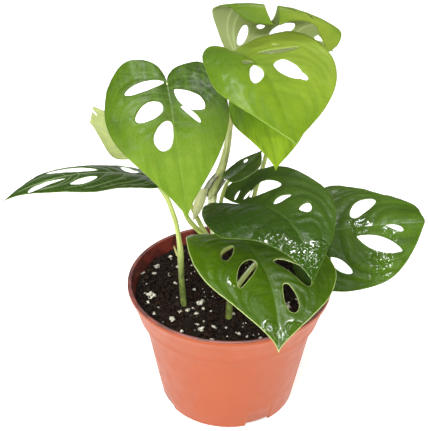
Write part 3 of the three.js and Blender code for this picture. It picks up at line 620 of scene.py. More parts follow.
def blade_normal(leaf, across, along):
    d = 0.5
    sideways = pose_blade(leaf, across + d, along) - pose_blade(leaf, across - d, along)
    onward = pose_blade(leaf, across, along + d) - pose_blade(leaf, across, along - d)
    return unit(np.cross(sideways, onward))


def smooth_line(points, fine=8):
    """A curve through the points of a polygon line, softened a little at each."""
    points = np.array(points, float)
    t = np.linspace(0, len(points) - 1, (len(points) - 1) * fine + 1)
    line = np.stack([np.interp(t, np.arange(len(points)), points[:, i]) for i in (0, 1)], 1)
    for _ in range(fine // 2):
        line[1:-1] = (line[:-2] + 2 * line[1:-1] + line[2:]) / 4
    return line


def half_edge(leaf, name):
    """The edge of one flat half blade, from the notch at the stalk round the back lobe to the tip."""
    part, length = leaf[name], leaf["length"]
    if part["edge"]:
        return smooth_line(part["edge"])
    width, lobe = part["width"], part["lobe"]
    widest = (leaf["widest"] + part["shift"]) * length
    rest = length - widest
    notch = bezier((0, 0), (0.03 * width, -0.75 * lobe), (0.22 * width, -lobe), (0.5 * width, -lobe))
    shoulder = bezier((0.5 * width, -lobe), (0.8 * width, -lobe), (width, (widest - lobe) / 2),
                      (width, widest))
    flank = bezier((width, widest), (width, widest + leaf["fullness"] * rest),
                   (leaf["taper"] * width, length - SHOULDER_BACK * rest), (0, length))
    edge = np.vstack([notch, shoulder[1:], flank[1:]])
    return edge * ((1, 1) if name == "right" else (-1, 1))


def wavy(line, seed, height=0.35, wave=13.0):
    """A line nudged sideways by slow noise, so that an edge isn't perfectly even; its ends stay."""
    along = run_of(line)
    tangent = unit(np.gradient(line, axis=0))
    off = np.array([wobble(a / wave, seed * 7.3, 0.5) for a in along])
    off *= height * smoothstep(np.minimum(along, along[-1] - along), 0, 8)
    return line + np.stack([-tangent[:, 1], tangent[:, 0]], 1) * off[:, None]


def hole_edge(shape):
    """A hole in the flat blade: across, along, length, width and turn, then how much narrower its
    far end is, how pointed its two ends are, and how far it bows to one side."""
    across, along, length, width, turn, narrowing, near_point, far_point, bow = (*shape, 0, 0, 0, 0)[:9]
    angle = np.linspace(0, 2 * np.pi, 64, endpoint=False)
    u, v = np.cos(angle), np.sin(angle)
    point = 1 + near_point + (far_point - near_point) * (u + 1) / 2
    x = length / 2 * u
    y = width / 2 * np.sign(v) * np.abs(v) ** point * (1 - narrowing * u) + bow * (u * u - 0.5)
    c, s = math.cos(math.radians(turn)), math.sin(math.radians(turn))
    return np.stack([across + c * x - s * y, along + s * x + c * y], 1)


def lateral_veins(leaf, holes):
    """The side veins, as lines on the flat blade: they leave the midrib outwards and then bow towards
    the tip along the margin. Each is shifted a little along to miss the holes."""
    lines = []
    grown = [(hole - hole.mean(0)) * 1.12 + hole.mean(0) for hole in holes]
    count = max(4, int(round(leaf["length"] / VEIN_SPACING)))
    for name in ("left", "right"):
        edge = resample(half_edge(leaf, name), 0.5)
        for k in range(count):
            best = None
            for nudge in (0, 0.15, -0.15, 0.3, -0.3, 0.45, -0.45):
                t = (k + 0.5 + nudge) / count
                start = np.array([0, max(0.0, (t - 0.28) / 0.72) * leaf["length"] * 0.62])
                outward = edge[int((0.12 + 0.60 * t) * (len(edge) - 1))]
                onward = edge[int(min(0.985, 0.40 + 0.58 * t) * (len(edge) - 1))]
                turn = start + (outward - start) * (1.15 - 0.35 * t)
                end = start + (onward - start) * 0.95
                u = np.linspace(0, 1, 22)[:, None]
                line = (1 - u) ** 2 * start + 2 * (1 - u) * u * turn + u ** 2 * end
                cost = sum(inside(line, hole).sum() for hole in grown) + 3 * abs(nudge)
                if best is None or cost < best[0]:
                    best = (cost, line)
            lines.append(best[1])
    return lines


def flat_blade(leaf, seed):
    """Points and triangles of the flat blade with its holes cut out, and its edge lines."""
    spacing = BLADE_SPACING
    right = resample(wavy(half_edge(leaf, "right"), seed), spacing)
    left = resample(wavy(half_edge(leaf, "left"), seed + 0.5), spacing)
    outline = np.vstack([right, left[-2:0:-1]])
    holes = [resample(np.vstack([edge, edge[:1]]), spacing * 0.8)[:-1]
             for edge in map(hole_edge, leaf["holes"])]
    loops = [outline, *holes]

    def in_hole(places):
        return np.any([inside(places, hole) for hole in holes] or [np.zeros(len(places), bool)], axis=0)

    midrib = np.array([[0, y] for y in np.arange(spacing, leaf["length"] - spacing / 2, spacing)])
    midrib = midrib[~in_hole(midrib)]
    low, high = outline.min(0), outline.max(0)
    columns = np.arange(low[0], high[0], spacing)
    rows = np.arange(low[1], high[1], spacing * math.sqrt(3) / 2)
    grid = np.vstack([np.stack([columns + (i % 2) * spacing / 2, np.full(len(columns), y)], 1)
                      for i, y in enumerate(rows)])
    grid = grid[inside(grid, outline) & ~in_hole(grid)]
    gap = np.min([distance_to(grid, loop, closed=True)[0] for loop in loops], axis=0)
    grid = grid[(gap > spacing * 0.5) & (np.abs(grid[:, 0]) > spacing * 0.45)]
    edges, start = [], 0
    for loop in loops:
        edges += [(start + i, start + (i + 1) % len(loop)) for i in range(len(loop))]
        start += len(loop)
    made = delaunay_2d_cdt([Vector(p) for p in np.vstack([*loops, midrib, grid])], edges, [], 0, 1e-6)
    points = np.array([tuple(p) for p in made[0]])
    triangles = np.array(made[2])
    centres = points[triangles].mean(axis=1)
    triangles = triangles[inside(centres, outline) & ~in_hole(centres)]
    a, b, c = (points[triangles[:, i]] for i in range(3))
    area = (b[:, 0] - a[:, 0]) * (c[:, 1] - a[:, 1]) - (c[:, 0] - a[:, 0]) * (b[:, 1] - a[:, 1])
    triangles[area < 0] = triangles[area < 0][:, ::-1]
    return points, triangles[np.abs(area) > 1e-4], loops


def blade_fields(leaf, points, loops):
    """What the skin and the relief of a blade depend on, at each point: the distances in millimetres
    from the side veins, the midrib and the rim, the shares along and across, and how wet it is."""
    x, y = points[:, 0], points[:, 1]
    along = np.clip(y / leaf["length"], 0, 1)
    rib = np.abs(x) + np.where(y < 0, 0.6 * np.abs(y), 0) + 0.8 * smoothstep(along, 0.8, 1)
    rim = np.min([distance_to(points, loop, closed=True)[0] for loop in loops], axis=0)
    vein = np.full(len(points), 9.0)
    for line in lateral_veins(leaf, loops[1:]):
        gap, share = distance_to(points, line)
        vein = np.minimum(vein, gap + 1.2 * smoothstep(share, 0.75, 1.0))
    wet = np.zeros(len(points))
    for wet_x, wet_y, radius in leaf["wet"]:
        wet = np.maximum(wet, np.exp(-((x - wet_x) ** 2 + (y - wet_y) ** 2) / radius ** 2))
    across = x / np.where(x < 0, leaf["left"]["width"], leaf["right"]["width"])
    return {"vein": vein, "rib": rib, "rim": rim, "along": along, "across": across, "wet": wet}


def blade_sides(leaf, points, fields, seed):
    """The points of a posed blade's upper and lower side: puffed up between the veins, a little
    uneven, thin at the rim, and with the midrib and the veins standing out beneath."""
    x, y = points[:, 0], points[:, 1]
    vein, rib, rim = fields["vein"], fields["rib"], fields["rim"]
    slow = np.array([wobble(px / 15, py / 15, seed) for px, py in points])
    fine = np.array([wobble(px / 4.5, py / 4.5, seed + 40) for px, py in points])
    puff = (1 - np.exp(-(vein / 2.4) ** 2)) * (1 - np.exp(-(np.abs(x) / 3.0) ** 2))
    relief = leaf["look"]["quilt"] * puff * (1 - 0.45 * np.exp(-(rim / 2.0) ** 2))
    relief += CRINKLE * fine + SWELL * slow * smoothstep(np.abs(fields["across"]), 0.3, 1)
    ridge = RIB_HEIGHT * (1 - 0.75 * fields["along"]) * np.exp(-(rib / 0.9) ** 2)
    ridge += VEIN_HEIGHT * np.exp(-(vein / 0.6) ** 2)
    size = min(1.0, leaf["length"] / FULL_SIZE)
    half_thick = BLADE_THICKNESS / 2 * (0.55 + 0.45 * smoothstep(rim, 0, 1.2))
    centre, normal = pose_blade(leaf, x, y), blade_normal(leaf, x, y)
    above = centre + normal * (relief * size + half_thick)[:, None]
    return above, centre + normal * ((relief - ridge) * size - half_thick)[:, None]


def build_leaf(name, leaf, seed, node=None, slot="leaf"):
    points, triangles, loops = flat_blade(leaf, seed)
    fields = blade_fields(leaf, points, loops)
    count = len(points)
    faces = triangles.tolist() + (triangles[:, ::-1] + count).tolist()
    edges = {(t[i], t[(i + 1) % 3]) for t in triangles.tolist() for i in range(3)}
    first_wall = len(faces)
    faces += [[a + count, b + count, b, a] for a, b in sorted(edges) if (b, a) not in edges]
    attributes = {key: np.concatenate([values, values]) for key, values in fields.items()}
    attributes["top"] = np.repeat([1.0, 0.0], count)
    skin = leaf_material(f"leaf_{name}_skin", leaf["look"])
    piece = make_piece(f"blade_{name}", np.vstack(blade_sides(leaf, points, fields, seed)), faces, skin,
                       [node or f"leaf_{name}"], slot, attributes, np.arange(first_wall, len(faces)))
    if leaf["wet"]:
        piece.data.materials.append(leaf_material(f"leaf_{name}_wet", leaf["look"], wet=True))
        for i in np.flatnonzero(fields["wet"][triangles].mean(axis=1) > WET_EDGE):
            piece.data.polygons[int(i)].material_index = 1


# ---- stems and stalks ----

def curve_through(stops, spacing):
    """A smooth centripetal curve through (x, y, z, radius) stops."""
    stops = np.array(stops, float)
    ends = np.array([2 * stops[0] - stops[1], *stops, 2 * stops[-1] - stops[-2]])
    made = []
    for i in range(len(stops) - 1):
        p = ends[i:i + 4]
        knots = [0.0]
        for j in range(3):
            knots.append(knots[-1] + max(np.linalg.norm(p[j + 1][:3] - p[j][:3]), 1e-6) ** 0.5)
        for t in np.linspace(knots[1], knots[2], 16, endpoint=False):
            level = p
            for order in (1, 2, 3):
                level = [level[j] * (knots[j + order] - t) / (knots[j + order] - knots[j])
                         + level[j + 1] * (t - knots[j]) / (knots[j + order] - knots[j])
                         for j in range(len(level) - 1)]
            made.append(level[0])
    made.append(stops[-1])
    return resample(made, spacing)


def frames(line, across=None):
    """At each point of a line its direction and two more, square to it, that turn no more than it does."""
    tangents = unit(np.gradient(line[:, :3], axis=0))
    if across is None:
        across = (1.0, 0, 0) if abs(tangents[0][0]) < 0.8 else (0, 1.0, 0)
    made = []
    for tangent in tangents:
        across = unit(across - tangent * (tangent @ across))
        made.append((tangent, across, np.cross(tangent, across)))
    return made


ROUND_END = ((0.35, 0.94), (0.7, 0.71), (0.94, 0.35))       # how far out, and how thin there


def tube(line, sides=STALK_SIDES, groove=0.0, rough=0.05, seed=0):
    """A closed round tube along (x, y, z, radius) points: vertices, faces and the grain of its skin."""
    along, turned = run_of(line[:, :3]), frames(line)
    vertices, grain = [], []
    rings = [(0, -out, thin) for out, thin in reversed(ROUND_END)]
    rings += [(i, 0.0, 1.0) for i in range(len(line))]
    rings += [(len(line) - 1, out, thin) for out, thin in ROUND_END]
    for i, out, thin in rings:
        tangent, across, up = turned[i]
        middle = line[i, :3] + tangent * out * line[i, 3]
        for a in np.arange(sides) / sides * 2 * np.pi:
            c, s = math.cos(a), math.sin(a)
            bumps = wobble(c * 1.3, s * 1.3, along[i] * 0.12 + seed)
            dent = groove * math.exp(-((a - math.pi / 2) / 0.55) ** 2)
            r = line[i, 3] * thin * (1 + rough * bumps - dent)
            vertices.append(middle + r * (c * across + s * up))
            grain.append((c * 0.0025, s * 0.0025, along[i] * 0.0001 + seed))
    return np.array(vertices), capped_rings(len(rings), sides), np.array(grain)


def into_blade(name, radius):
    """The last stops of a stalk: up to the underside of its blade and a little way on under the midrib."""
    leaf = LEAVES[name]
    reach = min(9, 0.14 * leaf["length"])
    stops = []
    for along, share, depth in ((0.0, 1.0, 0.75), (reach * 0.5, 0.75, 0.55), (reach, 0.45, 0.3)):
        place = leaf, np.array([0.0]), np.array([along])
        at = pose_blade(*place)[0] - blade_normal(*place)[0] * (radius * depth + 0.15)
        stops.append((*at, radius * share))
    return stops


# A stalk: the stem that it continues, if any, the radius of its tip, how far above the soil it is
# aged, and its (x, y, z, radius) stops.
STALKS = {
    "far_left": ("stem_left", 1.3, 40, [
        (-26.2, -16, PLANTED, 2), (-26.7, -13.9, 73, 1.9), (-28, -9.9, 88.8, 1.75),
        (-28.5, -6.2, 103.6, 1.85), (-29.3, -4.6, 110.3, 1.45), (-31.4, -1.6, 121.6, 1.4),
        (-33, -0.4, 126.2, 1.4), (-35.5, 1.4, 133, 1.4), (-39.2, 3.2, 139, 1.4)]),
    "front_left": (None, 1.2, 0, [
        (-9.5, 6.5, 98, 1.6), (-10.2, 4.4, 103, 1.6), (-15.5, 1.5, 110, 1.5), (-24.8, 1, 122, 1.4),
        (-28.4, 4, 142, 1.4), (-28.9, 6.5, 166, 1.4), (-30.2, 6.4, 179, 1.4), (-33.6, 5.6, 191, 1.35)]),
    "behind_left": (None, 1.0, 0, [
        (-10, 8.8, 101, 1.3), (-12.9, 8.6, 104, 1.4), (-19, 10.5, 115, 1.3), (-26.5, 12.5, 131, 1.3),
        (-37, 11.5, 149, 1.2), (-47.5, 7.5, 158, 1.2)]),
    "top_front": (None, 1.3, 0, [(0.8, 22, 195.5, 1.5), (1.4, 20.4, 199, 1.5), (2.4, 13, 208, 1.45)]),
    "top_arched": (None, 1.0, 0, [(1.4, 22.8, 195.5, 1.3), (2.6, 23.6, 199, 1.25), (3.6, 24.6, 204, 1.15)]),
    "hanging_back": ("stem_back", 1.1, 30, [
        (10, 29, PLANTED, 2), (10, 29.5, 82, 1.9), (10.6, 30.5, 96, 1.9), (11.1, 31.2, 99.8, 1.55),
        (15, 32, 122, 1.4), (20.5, 31, 147, 1.3), (21.5, 28, 168, 1.3)]),
    "centre_right": (None, 1.2, 0, [(-7.5, 8.6, 108, 1.6), (-5.5, 7.8, 112.5, 1.5), (0, 4.4, 124.5, 1.4)]),
    "over_rim": (None, 1.2, 0, [(-6.6, 7, 91, 1.6), (-4.3, 5.3, 95.5, 1.5), (0.5, 0.5, 103, 1.4)]),
    "right": ("stem_front", 1.2, 22, [
        (-0.6, -28.6, PLANTED, 1.9), (-0.3, -27.2, 72, 1.9), (-0.2, -26, 80, 1.9), (1.6, -23.5, 86, 1.85),
        (3.2, -21.3, 88.2, 1.6), (12.6, -9.5, 95, 1.5), (24, 5, 97, 1.4), (34, 14.5, 95, 1.4),
        (42, 15.5, 97.6, 1.4)]),
    "small_at_node": (None, 0.9, 0, [
        (-8.6, 8.6, 113, 1.1), (-7.2, 6.8, 118, 1.1), (-5.4, 6, 131, 1.1), (-3, 4.6, 141, 1)]),
}
TRUNK = [
    (-3.6, 7, PLANTED, 2.6), (-4.6, 7, 76, 2.5), (-8, 8, 98, 2.4), (-9.8, 9, 114, 2.5),
    (-10.6, 9.8, 127, 2.5), (-9.6, 11.4, 136.5, 3), (-6.6, 13.5, 143, 2.7), (-3, 15, 157, 2.1),
    (-1, 17.5, 174, 1.7), (0, 20.5, 186, 1.7), (0.9, 22.6, 195, 1.9),
]


def stalk_piece(name, stops, material, replaced, slot, old, groove, seed):
    vertices, faces, grain = tube(curve_through(stops, STALK_SPACING), groove=groove, seed=seed)
    height = vertices[:, 2] - SOIL_LEVEL
    age = 1 - smoothstep(height, old * 0.4, old + 1e-3) if old else np.zeros(len(vertices))
    make_piece(name, vertices, faces, material, replaced, slot, {"grain": grain, "age": age})


def build_stalks():
    fresh = stalk_material("stalk_skin", (196, 208, 116), (150, 168, 80), (92, 104, 50))
    trunk = stalk_material("trunk_skin", (206, 212, 140), (150, 162, 92), (98, 106, 60), cream_below=0.132)
    stalk_piece("trunk", TRUNK, trunk, ["stem_middle"], "stem", 30, 0.0, 3)
    for i, (name, (stem, tip, old, stops)) in enumerate(STALKS.items()):
        replaced = [node for node in (stem, f"petiole_{name}") if node]
        whole = stops + into_blade(name, tip)
        stalk_piece(f"stalk_{name}", whole, fresh, replaced, "petiole", old, 0.1, 5 + i)


# A sheath: how far it is open in degrees, or 0 for a rolled-up one, its two colours and its stops.
SHEATHS = {
    "left": (0, ((214, 214, 140), (160, 150, 90)),
             [(-30.2, -6.8, 101.4, 0.9), (-31.2, -6.4, 104, 0.7), (-32.2, -5.8, 106.6, 0.25)]),
    "middle": (70, ((186, 190, 158), (96, 100, 72)),
               [(-14.6, 9.2, 131, 2.9), (-10.9, 10.8, 135.5, 4.2), (-6.2, 13, 141.5, 3.9)]),
    "top": (80, ((190, 200, 120), (140, 150, 84)),
            [(0.5, 22, 191.5, 2.3), (1.2, 22.6, 195.5, 3.1), (1.9, 22.2, 199.4, 3.2)]),
    "back": (90, ((176, 168, 116), (120, 104, 66)),
             [(10.4, 30.1, 89, 2.4), (10.6, 30.5, 95, 2.8), (11.1, 31.2, 100.5, 2.2)]),
    "front": (90, ((176, 168, 116), (120, 104, 66)),
              [(0.3, -25.4, 82, 2.2), (1.6, -23.5, 86, 2.5), (3.6, -20.8, 88.6, 2.1)]),
}


def wrap(line, opening, seed, thickness=0.35, sides=40):
    """A rolled papery sheet along a line, open by an angle on one side, with a torn upper edge."""
    along, span = run_of(line[:, :3]), math.radians(360 - opening)
    turned = frames(line, (0, 1.0, 0))
    vertices, grain = [], []
    for layer in (0, 1):
        for i, (tangent, axis, up) in enumerate(turned):
            for a in (-span / 2 + span * k / sides for k in range(sides + 1)):
                c, s = math.cos(a), math.sin(a)
                ragged = wobble(a * 2.2, seed, 1.0) + 0.5 * wobble(a * 7, seed, 2.0)
                lift = TORN_HEIGHT * ragged * (i / (len(line) - 1)) ** 3
                r = line[i, 3] * (1 + 0.05 * wobble(a * 3, along[i] * 0.25, seed)) - layer * thickness
                vertices.append(line[i, :3] + tangent * lift + r * (c * axis + s * up))
                grain.append((c * 0.003, s * 0.003, along[i] * 0.0001 + seed))
    outer, inner = np.arange(len(vertices)).reshape(2, len(line), sides + 1)
    faces = quads(outer[:-1, :-1], outer[:-1, 1:], outer[1:, 1:], outer[1:, :-1])
    faces += quads(inner[1:, :-1], inner[1:, 1:], inner[:-1, 1:], inner[:-1, :-1])
    faces += quads(inner[0, :-1], inner[0, 1:], outer[0, 1:], outer[0, :-1])
    faces += quads(outer[-1, :-1], outer[-1, 1:], inner[-1, 1:], inner[-1, :-1])
    faces += quads(outer[:-1, 0], outer[1:, 0], inner[1:, 0], inner[:-1, 0])
    faces += quads(inner[:-1, -1], inner[1:, -1], outer[1:, -1], outer[:-1, -1])
    return np.array(vertices), faces, np.array(grain)


def build_sheaths():
    for i, (name, (opening, colours, stops)) in enumerate(SHEATHS.items()):
        line = curve_through(stops, 0.5)
        made = wrap(line, opening, 20.0 + i) if opening else tube(line, sides=12, rough=0.2, seed=20 + i)
        make_piece(f"papery_{name}", *made[:2], sheath_material(f"sheath_{name}_skin", *colours),
                   [f"sheath_{name}"], "sheath", {"grain": made[2]})


# ---- pot ----

def arc(centre, radius, start, end, count=5):
    """Points of a round stretch of a profile, angles in degrees from outwards to upwards."""
    angles = np.radians(np.linspace(start, end, count))
    return [(centre[0] + radius * math.cos(a), centre[1] + radius * math.sin(a)) for a in angles]


def lathe(profile, sides):
    """A profile of (radius, height) points from one place on the Z axis to another, turned about it."""
    vertices = [(0, 0, profile[0][1])]
    for radius, height in profile[1:-1]:
        vertices += circle(radius, height, sides)
    vertices.append((0, 0, profile[-1][1]))
    end = len(vertices) - 1
    last = end - sides
    faces = [[0, 1 + (k + 1) % sides, 1 + k] for k in range(sides)]
    faces += ring_faces(len(profile) - 2, sides, 1)
    faces += [[last + k, last + (k + 1) % sides, end] for k in range(sides)]
    return np.array(vertices, float), faces


def inside_radius(height):
    if height > COLLAR_FOOT:
        share = (height - COLLAR_FOOT) / COLLAR_HEIGHT
        return between((COLLAR_FOOT_RADIUS, COLLAR_TOP_RADIUS), share) - POT_WALL
    return between((BASE_RADIUS, BODY_RADIUS), min(1, height / BODY_TOP)) - POT_WALL


def drain_cutter():
    """The drain slots round the base, as one solid to cut away."""
    slots = []
    low, high, wide = BASE_RADIUS - DRAIN_REACH, BASE_RADIUS + 4, DRAIN_WIDTH / 2
    outline = []
    for x, y, a in ((high, wide, 0), (low, wide, 90), (low, -wide, 180), (high, -wide, 270)):
        middle = (x - math.copysign(DRAIN_CORNER, x - BASE_RADIUS), y - math.copysign(DRAIN_CORNER, y))
        outline += arc(middle, DRAIN_CORNER, a, a + 90)
    for number in range(DRAIN_COUNT):
        turn = math.radians(number / DRAIN_COUNT * 360 + DRAIN_TURN)
        c, s = math.cos(turn), math.sin(turn)
        flat = np.array(outline) @ np.array([[c, s], [-s, c]])
        ends = [np.c_[flat, np.full(len(flat), height)] for height in (-2.0, DRAIN_HEIGHT)]
        slots.append((np.vstack(ends), capped_rings(2, len(flat))))
    vertices, faces = join_parts(slots)
    mesh = bpy.data.meshes.new("drain_cutter")
    mesh.from_pydata((vertices * MM).tolist(), [], faces)
    return link(bpy.data.objects.new("drain_cutter", mesh))


def apply_cut(piece, cutter):
    """Cuts cutter out of piece for good and removes the cutter."""
    cut = piece.modifiers.new("cut", "BOOLEAN")
    cut.operation = "DIFFERENCE"
    cut.solver = "EXACT"
    cut.object = cutter
    bpy.context.view_layer.update()
    graph = bpy.context.evaluated_depsgraph_get()
    made = bpy.data.meshes.new_from_object(piece.evaluated_get(graph))
    piece.modifiers.remove(cut)
    old = piece.data
    piece.data = made
    bpy.data.meshes.remove(old)
    bpy.data.objects.remove(cutter)


def build_pot():
    def on_body(t):
        return between((BASE_RADIUS, BODY_RADIUS), t), BODY_TOP * t

    def on_collar(t):
        return between((COLLAR_FOOT_RADIUS, COLLAR_TOP_RADIUS), t), between((COLLAR_FOOT, LIP_FOOT), t)

    rim_inside = inside_radius(POT_HEIGHT)
    profile = [
        (0, 0), (BASE_RADIUS - 2, 0), *arc((BASE_RADIUS - 0.8, 0.8), 0.8, -90, -10),
        *map(on_body, (0.25, 0.5, 0.75)), (BODY_RADIUS - 0.1, BODY_TOP - 0.8),
        (BODY_RADIUS + 0.15, BODY_TOP), (COLLAR_FOOT_RADIUS - 0.9, COLLAR_FOOT - 0.9),
        *arc((COLLAR_FOOT_RADIUS - 0.7, COLLAR_FOOT), 0.7, -45, 10), *map(on_collar, (0.35, 0.7, 0.94)),
        (COLLAR_TOP_RADIUS + 0.15, LIP_FOOT - 0.35), *arc((RIM_RADIUS - 0.6, LIP_FOOT + 0.6), 0.6, -60, 0),
        *arc((RIM_RADIUS - 0.75, POT_HEIGHT - 0.75), 0.75, 0, 90),
        *arc((rim_inside + 0.5, POT_HEIGHT - 0.5), 0.5, 90, 180)]
    profile += [(inside_radius(z), z) for z in (
        77, 73, 69, 65, COLLAR_FOOT + 0.5, BODY_TOP - 0.6, 45, 30, 15, POT_WALL + 1)]
    profile += [(BASE_RADIUS - POT_WALL - 1, POT_WALL), (0, POT_WALL)]
    vertices, faces = lathe(profile, 224)
    inner = [float(z > 1 and (math.hypot(x, y) < inside_radius(z) + 0.35 or z > POT_HEIGHT - 0.45))
             for x, y, z in vertices]
    piece = make_piece("nursery_pot", vertices, faces, pot_material(), ["pot"], "pot", {"inner": inner})
    apply_cut(piece, drain_cutter())


# ---- soil ----

def soil_height(x, y):
    lumps = math.sin(0.31 * x + 1) * math.cos(0.27 * y) + 0.6 * math.sin(0.17 * x - 0.4 * y + 2)
    crumbs = noise.fractal(Vector((x * 0.35, y * 0.35, 3.0)), 0.9, 2.1, 4)
    return SOIL_LEVEL + SOIL_LUMPS * lumps + 0.75 * crumbs + 0.3 * wobble(x * 1.7, y * 1.7, 9.0)


def build_soil():
    rings, sides = ((84, 300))
    outer = inside_radius(SOIL_LEVEL) - 0.5
    vertices = [(0, 0, soil_height(0, 0))]
    for ring in range(1, rings + 1):
        radius = outer * (ring / rings) ** 0.9
        for k in range(sides):
            a = 2 * math.pi * (k + 0.5 * (ring % 2)) / sides
            x, y = radius * math.cos(a), radius * math.sin(a)
            vertices.append((x, y, soil_height(x, y) + 0.6 * smoothstep(radius, outer - 5, outer)))
    below = [(inside_radius(z) - 0.6, z) for z in (61.5, 55, 3)]
    below.append((inside_radius(3) - 2, POT_WALL + 0.3))
    for radius, height in below:
        vertices += circle(radius, height, sides)
    faces = [[0, 1 + k, 1 + (k + 1) % sides] for k in range(sides)]
    faces += [[a, d, c, b] for a, b, c, d in ring_faces(rings + len(below), sides, 1)]
    faces.append(list(range(len(vertices) - sides, len(vertices)))[::-1])
    material = soil_material("soil_peat", (56, 46, 41), (16, 13, 13), (112, 88, 72))
    make_piece("peat", vertices, faces, material, ["soil"], "soil")


def ball(rounds):
    """A ball of triangles: twenty, four times as many after each round."""
    t = (1 + math.sqrt(5)) / 2
    corners = [(-1, t, 0), (1, t, 0), (-1, -t, 0), (1, -t, 0), (0, -1, t), (0, 1, t),
               (0, -1, -t), (0, 1, -t), (t, 0, -1), (t, 0, 1), (-t, 0, -1), (-t, 0, 1)]
    points = [Vector(c).normalized() for c in corners]
    faces = [(0, 11, 5), (0, 5, 1), (0, 1, 7), (0, 7, 10), (0, 10, 11), (1, 5, 9), (5, 11, 4),
             (11, 10, 2), (10, 7, 6), (7, 1, 8), (3, 9, 4), (3, 4, 2), (3, 2, 6), (3, 6, 8),
             (3, 8, 9), (4, 9, 5), (2, 4, 11), (6, 2, 10), (8, 6, 7), (9, 8, 1)]
    for _ in range(rounds):
        seen, split = {}, []

        def middle(a, b):
            key = (min(a, b), max(a, b))
            if key not in seen:
                seen[key] = len(points)
                points.append(((points[a] + points[b]) / 2).normalized())
            return seen[key]
        for a, b, c in faces:
            ab, bc, ca = middle(a, b), middle(b, c), middle(c, a)
            split += [(a, ab, ca), (b, bc, ab), (c, ca, bc), (ab, bc, ca)]
        faces = split
    return points, [list(f) for f in faces]


BALLS = {rounds: ball(rounds) for rounds in (1, 2)}


def lump(size, centre, rng, rounds=1, squash=1.0):
    """An irregular grain: a ball of few faces pushed about by noise."""
    points, faces = BALLS[rounds]
    offset = Vector([rng.uniform(0, 50) for _ in range(3)])
    turn = Matrix.Rotation(rng.uniform(0, math.tau), 3, "Z")
    turn = turn @ Matrix.Rotation(rng.uniform(-0.6, 0.6), 3, "X")
    stretch = Vector((rng.uniform(0.6, 1.3), rng.uniform(0.6, 1.3), squash * rng.uniform(0.6, 1.0)))
    made = []
    for p in points:
        r = size / 2 * (1 + 1.1 * noise.noise(p * 1.3 + offset) + 0.45 * noise.noise(p * 4.5 + offset))
        made.append(Vector(centre) + turn @ (p * stretch) * r)
    return np.array([tuple(p) for p in made]), faces


# The larger grains of perlite that show in front: x, y and size in millimetres.
PERLITE = [
    (-44, 23, 3), (-52, 15, 2.4), (-48, 2, 2.1), (-46, -8, 3.6), (-36, 33, 2.2), (-36, 14, 2),
    (-32, 5, 1.6), (-48, -15, 2), (-43, -25, 2.3), (-17, -13, 3.8), (-24, -21, 2.4), (-28, -21, 1.8),
    (-15, -20, 1.6), (-11, -22, 1.8), (-19, -25, 1.8), (-8, -27, 1.4), (-33, -30, 2.6),
    (-18, -33, 2.2), (-16, -39, 2.6), (-9, -37, 2), (-27, -41, 1.8), (-10, -47, 1.8), (34, -17, 3),
]
STEMS = ((-26.6, -14, 2), (-4.3, 7, 2.6), (10, 29.3, 2), (-0.3, -27.2, 2))      # x, y and radius


def clear_of_stems(x, y, size):
    return all(math.hypot(x - sx, y - sy) > r + size / 2 + 0.2 for sx, sy, r in STEMS)


def scatter(count, rng, outer, sizes, inset, sink, squash=1.0):
    """Grains strewn over the soil, most of them small: sizes holds the least, the spread and how
    strongly the small ones prevail."""
    made = []
    while len(made) < count:
        x, y = rng.uniform(-outer, outer), rng.uniform(-outer, outer)
        size = sizes[0] + sizes[1] * rng.random() ** sizes[2]
        if math.hypot(x, y) < outer - inset * size and clear_of_stems(x, y, size):
            made.append(lump(size, (x, y, soil_height(x, y) + size * sink), rng, 1, squash))
    return made


def build_grains():
    rng = random.Random(SEED)
    outer = inside_radius(SOIL_LEVEL) - 2.0
    white = [lump(size, (x, y, soil_height(x, y) + size * 0.22), rng, 2) for x, y, size in PERLITE]
    white += scatter(SMALL_PERLITE, rng, outer, (0.5, 1.6, 2), 1, 0.2)
    crumbs = scatter(CRUMBS, rng, outer, (0.8, 3.4, 2.6), 0, 0.15, 0.8)
    bark = []
    while len(bark) < FIBRES:
        x, y = rng.uniform(-outer, outer), rng.uniform(-outer, outer)
        if math.hypot(x, y) > outer - 4 or not clear_of_stems(x, y, 3):
            continue
        a, length = rng.uniform(0, math.tau), rng.uniform(1.5, 5)
        half_way = np.array([math.cos(a), math.sin(a), rng.uniform(-0.3, 0.5)]) * length / 2
        middle = np.array([x, y, soil_height(x, y) + 0.45])
        radius = rng.uniform(0.12, 0.4)
        line = [(*(middle + half_way * way), radius * thin) for way, thin in ((-1, 0.5), (0, 1), (1, 0.4))]
        bark.append(tube(curve_through(line, 0.6), sides=6, rough=0.3, seed=rng.uniform(0, 90))[:2])
    make_piece("perlite_grains", *join_parts(white), perlite_material(), slot="soil")
    crumb_skin = soil_material("peat_crumb", (62, 47, 38), (22, 16, 15), (120, 94, 72))
    make_piece("peat_crumbs", *join_parts(crumbs), crumb_skin, slot="soil")
    bark_skin = soil_material("bark", (86, 60, 42), (48, 34, 26), (132, 100, 72), 0.85)
    make_piece("bark_fibres", *join_parts(bark), bark_skin, slot="soil")


# ---- stage, in metres ----

CAMERA_TARGET = Vector((-0.0095, 0, 0.1239))
CAMERA_DISTANCE = 0.577
CAMERA_ELEVATION = 31.8
CAMERA_ROLL = 0.6
LENS = 85
SENSOR = 36

